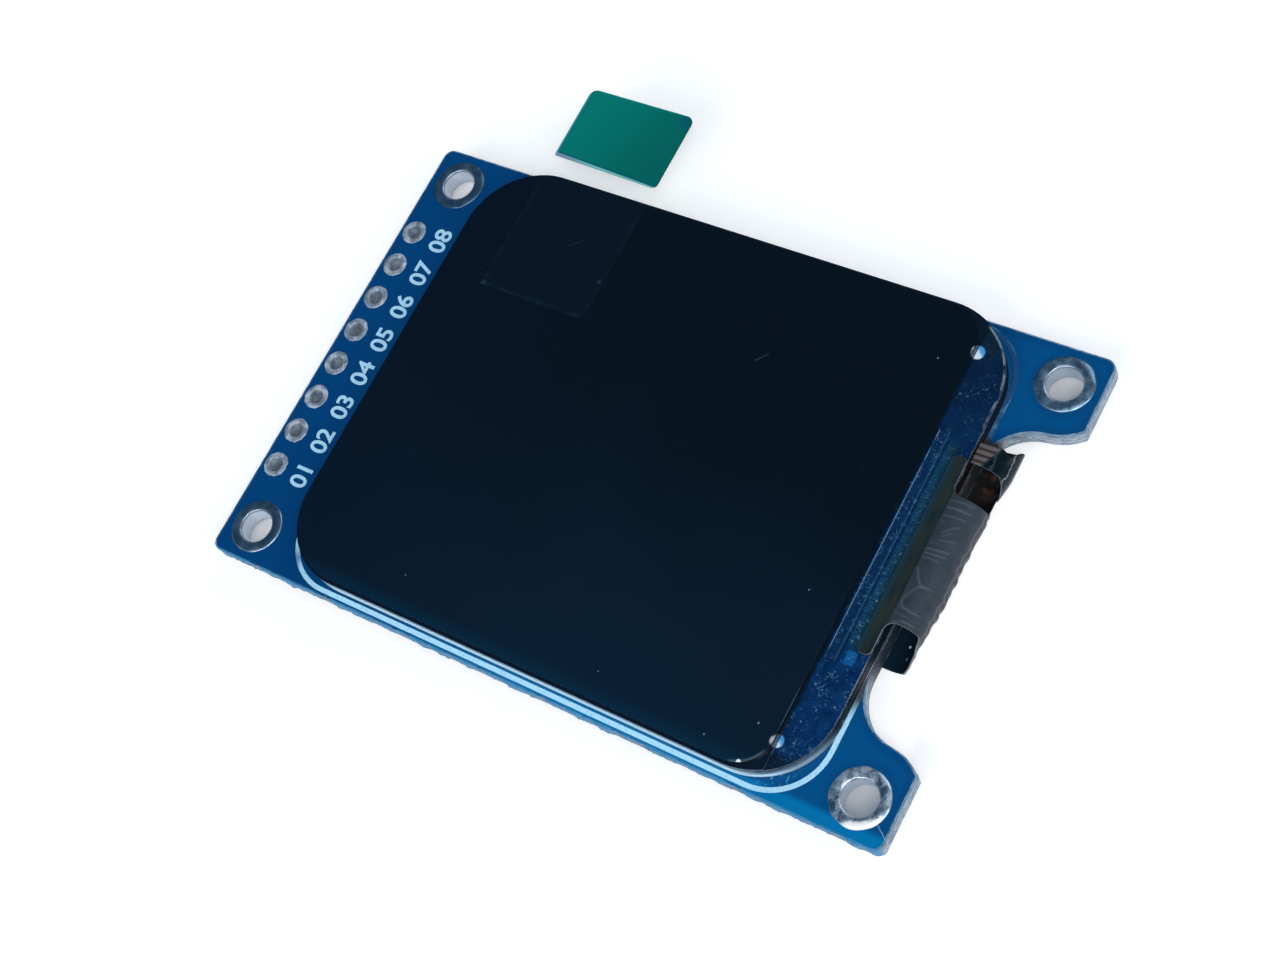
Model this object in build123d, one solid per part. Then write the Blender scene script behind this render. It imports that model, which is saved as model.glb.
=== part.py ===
from build123d import *
import math
import os

# A small colour display on a carrier board, lying with its screen up. All sizes are in millimetres.
# X runs across the board, Y along it towards the row of header holes, and Z out of the screen.
# The origin is the centre of the four mounting holes, on the front face of the board.

# Carrier board, as wide as the panel and a margin, and longer by the notch and a strip for the header
board_side_margin = 0.4
board_header_strip = 5.33
board_thickness = 1.2
board_corner_radius = 0.6
notch_depth = 4.83
notch_corner_radius = 3.2
ear_round_radius = 3.2

# Plated holes
mounting_hole_diameter = 2.15
mounting_ring_diameter = 3.5
mounting_hole_edge_distance = 2.25
header_hole_count = 8
header_pitch = 2.54
header_hole_diameter = 1.0
header_edge_distance = 1.05
plating_wall = 0.05
ring_crown = 0.04
pad_thickness = 0.04

# Display panel outline, set a little to one side of the board's middle
panel_width = 29.7
panel_length = 37.3
panel_corner_radius = 4.8
panel_shift_x = 0.23
panel_notch_setback = 0.04

# White line printed round the panel
print_line_width = 0.3
print_line_thickness = 0.03
print_line_margin = 0.07
print_corner_radius = 3.6

# Layers of the panel, from the board up
panel_tape_thickness = 0.1
panel_tape_inset = 1.7
reflector_thickness = 0.08
frame_height = 0.67
light_guide_thickness = 0.45
diffuser_thickness = 0.05
prism_film_thickness = 0.065
rim_tape_thickness = 0.05
rear_polariser_thickness = 0.11
glass_thickness = 0.25
front_polariser_thickness = 0.15
protective_film_thickness = 0.05

# Backlight
frame_wall = 0.9
frame_end_wall = 0.6
film_clearance = 0.05
led_count = 4
led_pitch = 5.4
led_length = 3.0
led_depth = 0.8
backlight_flex_thickness = 0.08
backlight_flex_overlap = 0.6
lamp_bay_end_gap = 0.15
film_end_gap = 0.1

# Tape that joins the backlight to the glass
rim_tape_inset = 0.15
rim_tape_side = 0.75
rim_tape_end = 2.9
peep_hole_diameter = 0.85
peep_hole_side_distance = 2.4
peep_hole_end_distance = 2.6

# Glass and polarisers
ledge_depth = 2.43
front_polariser_inset = 0.2
front_polariser_setback = 0.11
front_polariser_ledge_radius = 2.1
rear_polariser_inset = 0.5
rear_polariser_setback = 0.2

# Driver chip on the glass ledge
chip_length = 14.5
chip_width = 0.7
chip_height = 0.25
chip_gap = 0.21

# Flexible circuit that folds through the notch to the back of the board
flex_thickness = 0.1
bond_width = 12.5
bond_depth = 0.88
bond_corner_radius = 0.3
neck_width = 8.0
neck_corner_radius = 0.6
bend_run_out = 0.47
neck_floor_drop = 0.78
tail_reach_left = 5.95
tail_reach_right = 8.25
tail_length = 5.6
tongue_width = 10.4
tongue_length = 3.6

# Solder between the end of the flexible circuit and the board
joint_count = 12
joint_pitch = 0.8
joint_width = 0.5
joint_length = 0.6
joint_height = 0.18
joint_draft_angle = 30

# Tab that peels the protective film
strip_width = 7.85
strip_length = 15.05
strip_thickness = 0.05
strip_corner_radius = 0.6
strip_film_overlap = 8.43
strip_header_distance = 7.4
grip_length = 5.05
grip_thickness = 0.05

# Three-lead packages on the back: a voltage regulator and the backlight transistor
package_length = 2.9
package_width = 1.3
package_height = 1.0
package_draft_angle = 7
package_standoff = 0.08
lead_width = 0.4
lead_thickness = 0.13
lead_pitch = 0.95
lead_reach = 0.55
lead_foot = 0.35
regulator_x = 8.2
transistor_x = -8.2
package_header_distance = 9.2

# Chip capacitors and resistors on the back
chip_part_length = 1.6
chip_part_width = 0.8
capacitor_height = 0.8
resistor_height = 0.45
end_cap_length = 0.3
end_cap_step = 0.03
chip_part_pitch = 1.7
pad_margin = 0.15
capacitor_count = 3
resistor_count = 3
capacitor_x = 3.6
resistor_x = -3.6

# Distance under which two places count as one
small_gap = 0.001

# Places worked out from the sizes above
board_width = panel_width + 2 * board_side_margin
board_length = notch_depth + panel_notch_setback + panel_length + board_header_strip
board_end_y = board_length / 2
notch_base_y = -board_end_y + notch_depth
hole_x = board_width / 2 - mounting_hole_edge_distance
hole_y = board_end_y - mounting_hole_edge_distance
header_y = board_end_y - header_edge_distance
panel_end_y = notch_base_y + panel_notch_setback
panel_centre_y = panel_end_y + panel_length / 2
panel_side_x = panel_shift_x + panel_width / 2

# Heights of the layers
reflector_z = panel_tape_thickness
frame_z = reflector_z + reflector_thickness
rim_tape_z = frame_z + frame_height
rear_polariser_z = rim_tape_z + rim_tape_thickness
array_glass_z = rear_polariser_z + rear_polariser_thickness
ledge_z = array_glass_z + glass_thickness
front_polariser_z = ledge_z + glass_thickness
film_z = front_polariser_z + front_polariser_thickness
strip_z = film_z + protective_film_thickness
diffuser_z = frame_z + light_guide_thickness
lower_prism_z = diffuser_z + diffuser_thickness
upper_prism_z = lower_prism_z + prism_film_thickness
board_back_z = -board_thickness
pad_face_z = board_back_z - pad_thickness

# Folded flexible circuit
bond_start_y = panel_end_y + bond_depth
bend_y = panel_end_y - bend_run_out
bend_z = (ledge_z + board_back_z) / 2
bend_inner_radius = (ledge_z - board_back_z) / 2
bend_reach = bend_run_out + 2 * bend_inner_radius
neck_floor_z = bend_z - neck_floor_drop
tail_end_y = panel_end_y + tail_length
tongue_end_y = tail_end_y + tongue_length

# Edges across the flex end
glass_cut_y = panel_end_y + ledge_depth
led_back_y = panel_end_y + frame_end_wall + film_clearance
light_guide_end_y = led_back_y + led_depth
backlight_flex_end_y = light_guide_end_y + backlight_flex_overlap
film_end_y = backlight_flex_end_y + film_end_gap
lamp_bay_width = (led_count - 1) * led_pitch + led_length + 2 * lamp_bay_end_gap


def panel_outline(inset=0):
    """Outline of the display with its four large corners, drawn in by an even inset."""
    outline = RectangleRounded(
        panel_width - 2 * inset, panel_length - 2 * inset, panel_corner_radius - inset
    )
    return Pos(panel_shift_x, panel_centre_y) * outline


def beyond(y):
    """Large rectangle that covers the panel on the header side of a line across it."""
    return Pos(panel_shift_x, y + panel_length) * Rectangle(2 * panel_width, 2 * panel_length)


def layer(sketch, z, thickness):
    """Flat sheet of one thickness, lifted to its place in the stack."""
    return Pos(0, 0, z) * extrude(sketch, thickness)


def notch_outline():
    """Gap in the end of the board: a flat base, two hollow corners and a mouth that flares round
    each mounting hole. The two arcs of a side meet where their circles touch."""
    corner_y = notch_base_y - notch_corner_radius
    centre_distance = ear_round_radius + notch_corner_radius
    fall = corner_y + hole_y
    corner_x = hole_x - math.sqrt(centre_distance**2 - fall**2)
    touch_angle = math.degrees(math.atan2(-fall, hole_x - corner_x))
    mouth_angle = math.degrees(math.asin(mounting_hole_edge_distance / ear_round_radius))
    mouth_x = hole_x - ear_round_radius * math.cos(math.radians(mouth_angle))
    ear_arc = CenterArc((hole_x, -hole_y), ear_round_radius, 180 + mouth_angle, touch_angle - mouth_angle)
    corner_arc = CenterArc((corner_x, corner_y), notch_corner_radius, touch_angle, 90 - touch_angle)
    outside_y = -board_end_y - notch_depth
    base = Line((corner_x, notch_base_y), (-corner_x, notch_base_y))
    mouth = Polyline(
        (mouth_x, -board_end_y), (mouth_x, outside_y), (-mouth_x, outside_y), (-mouth_x, -board_end_y)
    )
    side = [ear_arc, corner_arc]
    other_side = [mirror(arc, Plane.YZ) for arc in side]
    return make_face([*side, base, *other_side, mouth])


def board_outline():
    """Board with rounded corners and the notch that leaves two ears."""
    return RectangleRounded(board_width, board_length, board_corner_radius) - notch_outline()


def mounting_places():
    """Centres of the four mounting holes."""
    return GridLocations(2 * hole_x, 2 * hole_y, 2, 2)


def header_places():
    """Centres of the header holes, in one row across the end of the board."""
    return Pos(0, header_y) * GridLocations(header_pitch, 0, header_hole_count, 1)


def circuit_board():
    """Glass-fibre board, drilled for the mounting barrels and the header pins."""
    barrel = Circle(mounting_hole_diameter / 2 + plating_wall)
    outline = board_outline() - [place * barrel for place in mounting_places()]
    outline -= [place * Circle(header_hole_diameter / 2) for place in header_places()]
    return Pos(0, 0, board_back_z) * extrude(outline, board_thickness)


def mounting_hole_platings():
    """Tinned barrel through each mounting hole, with a ring on both faces of the board that is flush
    at its rim and crowned towards the hole. Each is turned from one section."""
    bore = mounting_hole_diameter / 2
    barrel = bore + plating_wall
    rim = mounting_ring_diameter / 2
    section = Polyline(
        (bore, board_back_z - ring_crown),
        (rim, board_back_z),
        (barrel, board_back_z),
        (barrel, 0),
        (rim, 0),
        (bore, ring_crown),
        close=True,
    )
    plating = revolve(Plane.XZ * make_face(section), Axis.Z)
    return Compound(children=[place * plating for place in mounting_places()])


def panel_outline_print():
    """White line printed on the board to show where the panel goes, cut off by the notch."""
    middle_width = panel_width + 2 * print_line_margin
    middle_length = panel_length + 2 * print_line_margin
    half_line = print_line_width / 2
    outer = RectangleRounded(
        middle_width + print_line_width, middle_length + print_line_width, print_corner_radius + half_line
    )
    inner = RectangleRounded(
        middle_width - print_line_width, middle_length - print_line_width, print_corner_radius - half_line
    )
    line = Pos(0, panel_centre_y) * (outer - inner)
    return extrude(line & board_outline(), print_line_thickness)


def panel_tape():
    """Plain rectangle of double-sided tape under the panel, small enough to miss its round corners."""
    sheet = Rectangle(panel_width - 2 * panel_tape_inset, panel_length - 2 * panel_tape_inset)
    return layer(Pos(panel_shift_x, panel_centre_y) * sheet, 0, panel_tape_thickness)


def frame_opening():
    """Window of the backlight frame: even walls, and a thinner one behind the lamps."""
    window = panel_outline(frame_wall) & beyond(led_back_y)
    lamp_bay_depth = light_guide_end_y - led_back_y + film_clearance
    lamp_bay_y = led_back_y - film_clearance + lamp_bay_depth / 2
    return window + Pos(panel_shift_x, lamp_bay_y) * Rectangle(lamp_bay_width, lamp_bay_depth)


def backlight_frame():
    """White moulded frame that holds the light guide, its films and the lamps."""
    return layer(panel_outline() - frame_opening(), frame_z, frame_height)


def backlight_sheet(end_y):
    """Outline of a sheet that drops into the frame, cut square near the lamps."""
    return panel_outline(frame_wall + film_clearance) & beyond(end_y)


def backlight_lamps():
    """Row of side-firing white lamps that face the edge of the light guide."""
    lamp = Box(
        led_length, led_depth, light_guide_thickness, align=(Align.CENTER, Align.MIN, Align.MIN)
    )
    places = Pos(panel_shift_x, led_back_y, frame_z) * GridLocations(led_pitch, 0, led_count, 1)
    return Compound(children=[place * lamp for place in places])


def backlight_flex():
    """Narrow flexible circuit over the lamps, lapped onto the light guide."""
    depth = backlight_flex_end_y - led_back_y
    width = lamp_bay_width - 2 * film_clearance
    strip = Pos(panel_shift_x, led_back_y + depth / 2) * Rectangle(width, depth)
    return layer(strip, diffuser_z, backlight_flex_thickness)


def rim_tape():
    """Black double-sided tape between frame and glass, with two round peep holes by the ledge."""
    window_width = panel_width - 2 * (rim_tape_inset + rim_tape_side)
    window_start = panel_end_y + rim_tape_end
    window_end = panel_end_y + panel_length - rim_tape_inset - rim_tape_side
    window_corner_radius = panel_corner_radius - rim_tape_inset - rim_tape_side
    window_centre_y = (window_start + window_end) / 2
    window = Pos(panel_shift_x, window_centre_y) * RectangleRounded(
        window_width, window_end - window_start, window_corner_radius
    )
    tape = panel_outline(rim_tape_inset) - window
    peep_y = panel_end_y + peep_hole_end_distance
    peep_span = panel_width - 2 * peep_hole_side_distance
    peep_places = Pos(panel_shift_x, peep_y) * GridLocations(peep_span, 0, 2, 1)
    tape -= [place * Circle(peep_hole_diameter / 2) for place in peep_places]
    return layer(tape, rim_tape_z, rim_tape_thickness)


def rear_polariser():
    """Polariser under the glass, short of the ledge."""
    sheet = panel_outline(rear_polariser_inset) & beyond(glass_cut_y - rear_polariser_setback)
    return layer(sheet, rear_polariser_z, rear_polariser_thickness)


def array_glass():
    """Lower glass, whose bare ledge carries the driver chip and the flexible circuit."""
    return layer(panel_outline(), array_glass_z, glass_thickness)


def colour_filter_glass():
    """Upper glass, cut straight across to leave the ledge."""
    return layer(panel_outline() & beyond(glass_cut_y), ledge_z, glass_thickness)


def front_polariser_outline():
    """Outline of the front polariser, with smaller corners beside the ledge."""
    sheet = panel_outline(front_polariser_inset) & beyond(glass_cut_y + front_polariser_setback)
    ledge_corners = sheet.vertices().group_by(Axis.Y)[0]
    return fillet(ledge_corners, front_polariser_ledge_radius)


def driver_chip():
    """Long bare chip bonded to the ledge."""
    chip = Pos(panel_shift_x, glass_cut_y - chip_gap - chip_width / 2) * Rectangle(chip_length, chip_width)
    return layer(chip, ledge_z, chip_height)


def flex_section():
    """Side view of the flexible circuit: bonded on the ledge, round the end of the board in a half
    circle, and back along the board's rear face."""
    top_z = ledge_z + flex_thickness
    bottom_z = board_back_z - flex_thickness
    edges = [
        Line((bond_start_y, ledge_z), (bend_y, ledge_z)),
        CenterArc((bend_y, bend_z), bend_inner_radius, 90, 180),
        Line((bend_y, board_back_z), (tongue_end_y, board_back_z)),
        Line((tongue_end_y, board_back_z), (tongue_end_y, bottom_z)),
        Line((tongue_end_y, bottom_z), (bend_y, bottom_z)),
        CenterArc((bend_y, bend_z), bend_inner_radius + flex_thickness, 270, -180),
        Line((bend_y, top_z), (bond_start_y, top_z)),
        Line((bond_start_y, top_z), (bond_start_y, ledge_z)),
    ]
    return Plane.YZ * make_face(edges)


def corners_at(sketch, x, y):
    """Corners of a sketch a distance x to either side of its middle and at height y."""
    return [
        corner
        for corner in sketch.vertices()
        if abs(abs(corner.X) - x) < small_gap and abs(corner.Y - y) < small_gap
    ]


def flex_upper_plan():
    """Plan of the flexible circuit above mid-bend: the rounded bonded end and the narrow neck, with
    hollow corners between them."""
    bond = Pos(0, panel_end_y + bond_depth / 2) * Rectangle(bond_width, bond_depth)
    neck = Pos(0, panel_end_y - bend_reach / 2) * Rectangle(neck_width, bend_reach)
    plan = bond + neck
    plan = fillet(corners_at(plan, neck_width / 2, panel_end_y), neck_corner_radius)
    bond_corners = corners_at(plan, bond_width / 2, panel_end_y)
    bond_corners += corners_at(plan, bond_width / 2, bond_start_y)
    return Pos(panel_shift_x) * fillet(bond_corners, bond_corner_radius)


def flex_front():
    """Front view of the lower bend, where the neck widens to the tail through hollow corners."""
    tail_width = tail_reach_left + tail_reach_right
    tail_centre_x = (tail_reach_right - tail_reach_left) / 2
    neck = Pos(0, neck_floor_z + neck_floor_drop / 2) * Rectangle(neck_width, neck_floor_drop)
    tail = Pos(tail_centre_x, neck_floor_z - bend_reach / 2) * Rectangle(tail_width, bend_reach)
    view = neck + tail
    view = fillet(corners_at(view, neck_width / 2, neck_floor_z), neck_corner_radius)
    return Plane.XZ.offset(-panel_end_y) * Pos(panel_shift_x) * view


def flex_lower_plan():
    """Plan of the folded tail, which steps in to a tongue."""
    tail_centre_x = (tail_reach_right - tail_reach_left) / 2
    tail_full_length = bend_reach + tail_length
    tail = Pos(tail_centre_x, panel_end_y - bend_reach + tail_full_length / 2) * Rectangle(
        tail_reach_left + tail_reach_right, tail_full_length
    )
    tongue = Pos(0, tail_end_y + tongue_length / 2) * Rectangle(tongue_width, tongue_length)
    return Pos(panel_shift_x) * (tail + tongue)


def display_flex():
    """Flexible circuit in one piece: bonded end, neck between two C-shaped cut-outs, bend, tail
    and tongue, stamped out of one folded sheet."""
    reach = max(tail_reach_left, tail_reach_right)
    blank = Pos(panel_shift_x) * extrude(flex_section(), reach, both=True)
    upper = blank & layer(flex_upper_plan(), bend_z, bend_reach)
    front = blank & extrude(flex_front(), bend_reach)
    lower = blank & layer(flex_lower_plan(), neck_floor_z - bend_reach, bend_reach)
    return upper + front + lower


def flex_solder_joints():
    """Solder beads that tie the end of the tongue to the board, one for each conductor."""
    foot = Rectangle(joint_width, joint_length, align=(Align.CENTER, Align.MIN))
    joint = extrude(foot, -joint_height, taper=joint_draft_angle)
    start = Pos(panel_shift_x, tongue_end_y, board_back_z)
    places = start * GridLocations(joint_pitch, 0, joint_count, 1)
    return Compound(children=[place * joint for place in places])


def strip_outline(length):
    """Plan of the pull strip, or of its outer end alone, with rounded outer corners."""
    outer_x = panel_side_x - front_polariser_inset - strip_film_overlap + strip_length
    strip_y = panel_end_y + panel_length - strip_header_distance
    strip = Pos(outer_x - length / 2, strip_y) * Rectangle(length, strip_width)
    outer_corners = strip.vertices().group_by(Axis.X)[-1]
    return fillet(outer_corners, strip_corner_radius)


def package_body():
    """Moulded package, widest at half height, with drafted sides above and below."""
    half_height = (package_height - package_standoff) / 2
    plan = Rectangle(package_length, package_width)
    upper = extrude(plan, half_height, taper=package_draft_angle)
    lower = extrude(plan, -half_height, taper=package_draft_angle)
    return Pos(0, 0, package_standoff + half_height) * (upper + lower)


def gull_lead():
    """Formed lead that leaves the package at half height, steps down and ends in a flat foot."""
    middle_z = (package_height + package_standoff) / 2
    foot_z = lead_thickness / 2
    root_y = package_width / 2
    heel_y = root_y + lead_reach - lead_foot
    path = Polyline(
        (0, root_y, middle_z),
        (0, heel_y, middle_z),
        (0, heel_y, foot_z),
        (0, root_y + lead_reach, foot_z),
    )
    start = Plane(origin=path @ 0, x_dir=(1, 0, 0), z_dir=path % 0)
    section = start * Rectangle(lead_width, lead_thickness)
    return sweep(section, path=path, transition=Transition.RIGHT)


def lead_places():
    """Two leads on one long side of the package and one on the other."""
    pair = [Pos(side * lead_pitch) for side in (-1, 1)]
    return [*pair, Rot(0, 0, 180)]


def on_back(x, y):
    """Place on the rear face of the board, on top of the pads and facing down."""
    return Pos(x, y, pad_face_z) * Rot(180, 0, 0)


def package_y():
    """Row in which the two packages lie."""
    return board_end_y - package_header_distance


def package_leads(x):
    """The three leads of one package."""
    lead = gull_lead()
    return Compound(children=[on_back(x, package_y()) * place * lead for place in lead_places()])


def chip_part(height):
    """Ceramic block with a slightly larger metal cap on each end, in one solid."""
    core_width = chip_part_width - 2 * end_cap_step
    core_height = height - 2 * end_cap_step
    core = Box(chip_part_length - end_cap_length, core_width, core_height)
    cap = Box(end_cap_length, chip_part_width, height)
    cap_x = (chip_part_length - end_cap_length) / 2
    block = core + Pos(-cap_x) * cap + Pos(cap_x) * cap
    return Pos(0, 0, height / 2) * block


def chip_part_places(x, count):
    """Column of chip parts beside the packages, one below the other."""
    first = package_y() - (count - 1) * chip_part_pitch / 2
    return [on_back(x, first + step * chip_part_pitch) for step in range(count)]


def chip_parts(x, count, height):
    """Column of equal capacitors or resistors."""
    part = chip_part(height)
    return Compound(children=[place * part for place in chip_part_places(x, count)])


def component_pads():
    """Tinned pads under every lead and end cap on the back."""
    lead_pad_length = lead_foot + 2 * pad_margin
    lead_pad_y = package_width / 2 + lead_reach - lead_foot / 2
    lead_pad = Pos(0, lead_pad_y, -pad_thickness) * Box(
        lead_width + 2 * pad_margin,
        lead_pad_length,
        pad_thickness,
        align=(Align.CENTER, Align.CENTER, Align.MIN),
    )
    cap_pad = Box(
        end_cap_length + 2 * pad_margin,
        chip_part_width + 2 * pad_margin,
        pad_thickness,
        align=(Align.CENTER, Align.CENTER, Align.MAX),
    )
    cap_x = (chip_part_length - end_cap_length) / 2
    pads = []
    for x in (regulator_x, transistor_x):
        package = on_back(x, package_y())
        pads += [package * place * lead_pad for place in lead_places()]
    columns = chip_part_places(capacitor_x, capacitor_count) + chip_part_places(resistor_x, resistor_count)
    for place in columns:
        pads += [place * Pos(side * cap_x) * cap_pad for side in (-1, 1)]
    return Compound(children=pads)


parts = {
    "circuit_board": circuit_board(),
    "mounting_hole_platings": mounting_hole_platings(),
    "panel_outline_print": panel_outline_print(),
    "panel_tape": panel_tape(),
    "reflector_film": layer(panel_outline(), reflector_z, reflector_thickness),
    "backlight_frame": backlight_frame(),
    "light_guide": layer(backlight_sheet(light_guide_end_y), frame_z, light_guide_thickness),
    "backlight_lamps": backlight_lamps(),
    "backlight_flex": backlight_flex(),
    "diffuser_film": layer(backlight_sheet(film_end_y), diffuser_z, diffuser_thickness),
    "lower_prism_film": layer(backlight_sheet(film_end_y), lower_prism_z, prism_film_thickness),
    "upper_prism_film": layer(backlight_sheet(film_end_y), upper_prism_z, prism_film_thickness),
    "rim_tape": rim_tape(),
    "rear_polariser": rear_polariser(),
    "array_glass": array_glass(),
    "colour_filter_glass": colour_filter_glass(),
    "front_polariser": layer(front_polariser_outline(), front_polariser_z, front_polariser_thickness),
    "driver_chip": driver_chip(),
    "display_flex": display_flex(),
    "flex_solder_joints": flex_solder_joints(),
    "protective_film": layer(front_polariser_outline(), film_z, protective_film_thickness),
    "pull_strip": layer(strip_outline(strip_length), strip_z, strip_thickness),
    "pull_strip_grip": layer(strip_outline(grip_length), strip_z + strip_thickness, grip_thickness),
    "component_pads": component_pads(),
    "regulator_body": on_back(regulator_x, package_y()) * package_body(),
    "regulator_leads": package_leads(regulator_x),
    "transistor_body": on_back(transistor_x, package_y()) * package_body(),
    "transistor_leads": package_leads(transistor_x),
    "capacitors": chip_parts(capacitor_x, capacitor_count, capacitor_height),
    "resistors": chip_parts(resistor_x, resistor_count, resistor_height),
}

os.makedirs("parts", exist_ok=True)
for name, part in parts.items():
    export_step(part, f"parts/{name}.step")
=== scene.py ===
import math

import bpy
import numpy as np
from mathutils import Matrix


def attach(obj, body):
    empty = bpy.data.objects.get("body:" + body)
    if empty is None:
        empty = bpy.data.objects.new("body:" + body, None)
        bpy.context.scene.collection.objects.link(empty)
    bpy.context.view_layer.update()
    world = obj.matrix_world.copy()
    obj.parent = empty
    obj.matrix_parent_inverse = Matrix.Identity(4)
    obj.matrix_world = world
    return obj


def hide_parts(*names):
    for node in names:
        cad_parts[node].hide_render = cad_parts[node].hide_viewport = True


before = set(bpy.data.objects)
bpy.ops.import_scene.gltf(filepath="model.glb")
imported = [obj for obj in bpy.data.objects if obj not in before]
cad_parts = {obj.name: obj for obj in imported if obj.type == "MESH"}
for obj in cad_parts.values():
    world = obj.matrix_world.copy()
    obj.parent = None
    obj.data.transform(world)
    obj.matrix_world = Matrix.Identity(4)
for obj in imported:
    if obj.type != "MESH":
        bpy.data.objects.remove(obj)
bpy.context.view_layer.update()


# Carrier board: glass-fibre laminate with a copper pour on its face, under a glossy deep blue mask.
# It is cut out by a router, which leaves pale, rough edges. The mask is drawn back in a thin ring
# round each mounting hole.
board_width, board_length, board_thickness = 30.5, 47.5, 1.2
board_corner, ear_radius, notch_radius = 0.6, 3.2, 3.2
hole_x, hole_y, notch_base_y = 13.0, 21.5, -18.92
mask_over_copper, mask_over_laminate, mask_far_end = (0, 76, 132), (0, 69, 122), (0, 62, 116)
laminate_light, laminate_dark = (168, 184, 200), (76, 100, 122)


def paint(colour):
    """Colour from three sRGB numbers of 0 to 255, as linear light with a full alpha. The dark end of
    the curve is a straight line and the rest is a power of 2.4."""
    share = np.array(colour, float) / 255
    light = np.where(share <= 0.04045, share / 12.92, ((share + 0.055) / 1.055) ** 2.4)
    return (*(float(value) for value in light), 1.0)


class Field:
    """Number, vector or colour that differs from place to place: an output of a shader node.
    Arithmetic with it adds Math nodes to the same tree."""

    def __init__(self, socket):
        self.socket, self.tree = socket, socket.id_data

    def __add__(self, other):
        return calc("ADD", self, other)

    def __sub__(self, other):
        return calc("SUBTRACT", self, other)

    def __rsub__(self, other):
        return calc("SUBTRACT", other, self)

    def __mul__(self, other):
        return calc("MULTIPLY", self, other)

    def __pow__(self, other):
        return calc("POWER", self, other)

    def __lt__(self, other):
        return calc("LESS_THAN", self, other)

    def __gt__(self, other):
        return calc("GREATER_THAN", self, other)

    def __abs__(self):
        return calc("ABSOLUTE", self)

    __radd__, __rmul__ = __add__, __mul__


def put(target, value):
    """Links a field to a node's input, or gives the input a fixed value."""
    if isinstance(value, Field):
        value.tree.links.new(value.socket, target)
    else:
        target.default_value = value


def add(tree, kind, sockets=None, **settings):
    """Outputs, by number and by name, of one new shader node. Settings are its own properties, and
    sockets gives each input its field or fixed value."""
    made = tree.nodes.new(kind)
    for name, value in settings.items():
        setattr(made, name, value)
    for key, value in (sockets or {}).items():
        put(made.inputs[key], value)
    fields = [Field(output) for output in made.outputs]
    return {**{field.socket.name: field for field in fields}, **dict(enumerate(fields))}


def calc(operation, *values):
    """Number worked out by one Math node from fields and plain numbers."""
    tree = next(value.tree for value in values if isinstance(value, Field))
    return add(tree, "ShaderNodeMath", dict(enumerate(values)), operation=operation)[0]


def larger(*values):
    """Larger of two numbers."""
    return calc("MAXIMUM", *values)


def smaller(*values):
    """Smaller of two numbers."""
    return calc("MINIMUM", *values)


def rise(value, low, high):
    """Mask that goes smoothly from 0 to 1 while the value goes from low to high."""
    sockets = {"Value": value, "From Min": low, "From Max": high}
    return add(value.tree, "ShaderNodeMapRange", sockets, interpolation_type="SMOOTHSTEP")[0]


def between(value, low, high, soft=0.04):
    """Mask of the stretch from low to high, with soft ends: the product of a rise and a fall."""
    return rise(value, low - soft, low + soft) * rise(value, high + soft, high - soft)


def tint(mask, below, above):
    """Colour that goes from the first to the second while the mask goes from 0 to 1. Each is a field
    or three sRGB numbers of 0 to 255."""
    below, above = (colour if isinstance(colour, Field) else paint(colour) for colour in (below, above))
    return add(mask.tree, "ShaderNodeMix", {0: mask, 6: below, 7: above}, data_type="RGBA")[2]


def noise(vector, scale, detail=3.0, roughness=0.5):
    """Cloudy value of 0 to 1, with a number of lumps in each millimetre."""
    sockets = {"Vector": vector, "Scale": scale, "Detail": detail, "Roughness": roughness}
    return add(vector.tree, "ShaderNodeTexNoise", sockets)[0]


def stretched(vector, scale, turn=0.0):
    """Vector turned about the upright axis and scaled along each of its own axes."""
    sockets = {"Vector": vector, "Rotation": (0, 0, turn), "Scale": scale}
    return add(vector.tree, "ShaderNodeMapping", sockets, vector_type="POINT")[0]


def distance_from(x, y, centre_x, centre_y):
    """Distance in plan from an upright axis: the root of the sum of two squares."""
    across, along = x - centre_x, y - centre_y
    return calc("SQRT", across * across + along * along)


def relief(height, depth, strength=1.0):
    """Normal bent by a height of 0 to 1 that stands for a depth in millimetres."""
    sockets = {"Strength": strength, "Distance": depth / 1000, "Height": height}
    return add(height.tree, "ShaderNodeBump", sockets)[0]


def feed(node, **sockets):
    """Gives the named inputs of a node their fields or fixed values."""
    for key, value in sockets.items():
        put(node.inputs[key.replace("_", " ")], value)


def finish(name, **sockets):
    """New material and its Principled shader, whose named sockets take fixed values, with the place
    on the object in millimetres as a vector and as its three parts."""
    material = bpy.data.materials.new(name)
    material.use_nodes = True
    tree = material.node_tree
    feed(tree.nodes["Principled BSDF"], **sockets)
    metres = add(tree, "ShaderNodeTexCoord")["Object"]
    place = add(tree, "ShaderNodeVectorMath", {0: metres, 3: 1000.0}, operation="SCALE")[0]
    parts = add(tree, "ShaderNodeSeparateXYZ", {0: place})
    return material, tree.nodes["Principled BSDF"], place, parts[0], parts[1], parts[2]


def new_group(name, outputs, **inputs):
    """Node group, the fields that come into it and the inputs of its end. Its outputs are numbers, and
    each input is given with its socket kind."""
    group = bpy.data.node_groups.new(name, "ShaderNodeTree")
    for label, kind in inputs.items():
        group.interface.new_socket(label, in_out="INPUT", socket_type="NodeSocket" + kind)
    for label in outputs:
        group.interface.new_socket(label, in_out="OUTPUT", socket_type="NodeSocketFloat")
    return group, add(group, "NodeGroupInput"), group.nodes.new("NodeGroupOutput").inputs


def effect(group, place, **sockets):
    """Outputs of a node group that is placed in a material."""
    made = place.tree.nodes.new("ShaderNodeGroup")
    made.node_tree = group
    feed(made, Place=place, **sockets)
    return {output.name: Field(output) for output in made.outputs}


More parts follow.
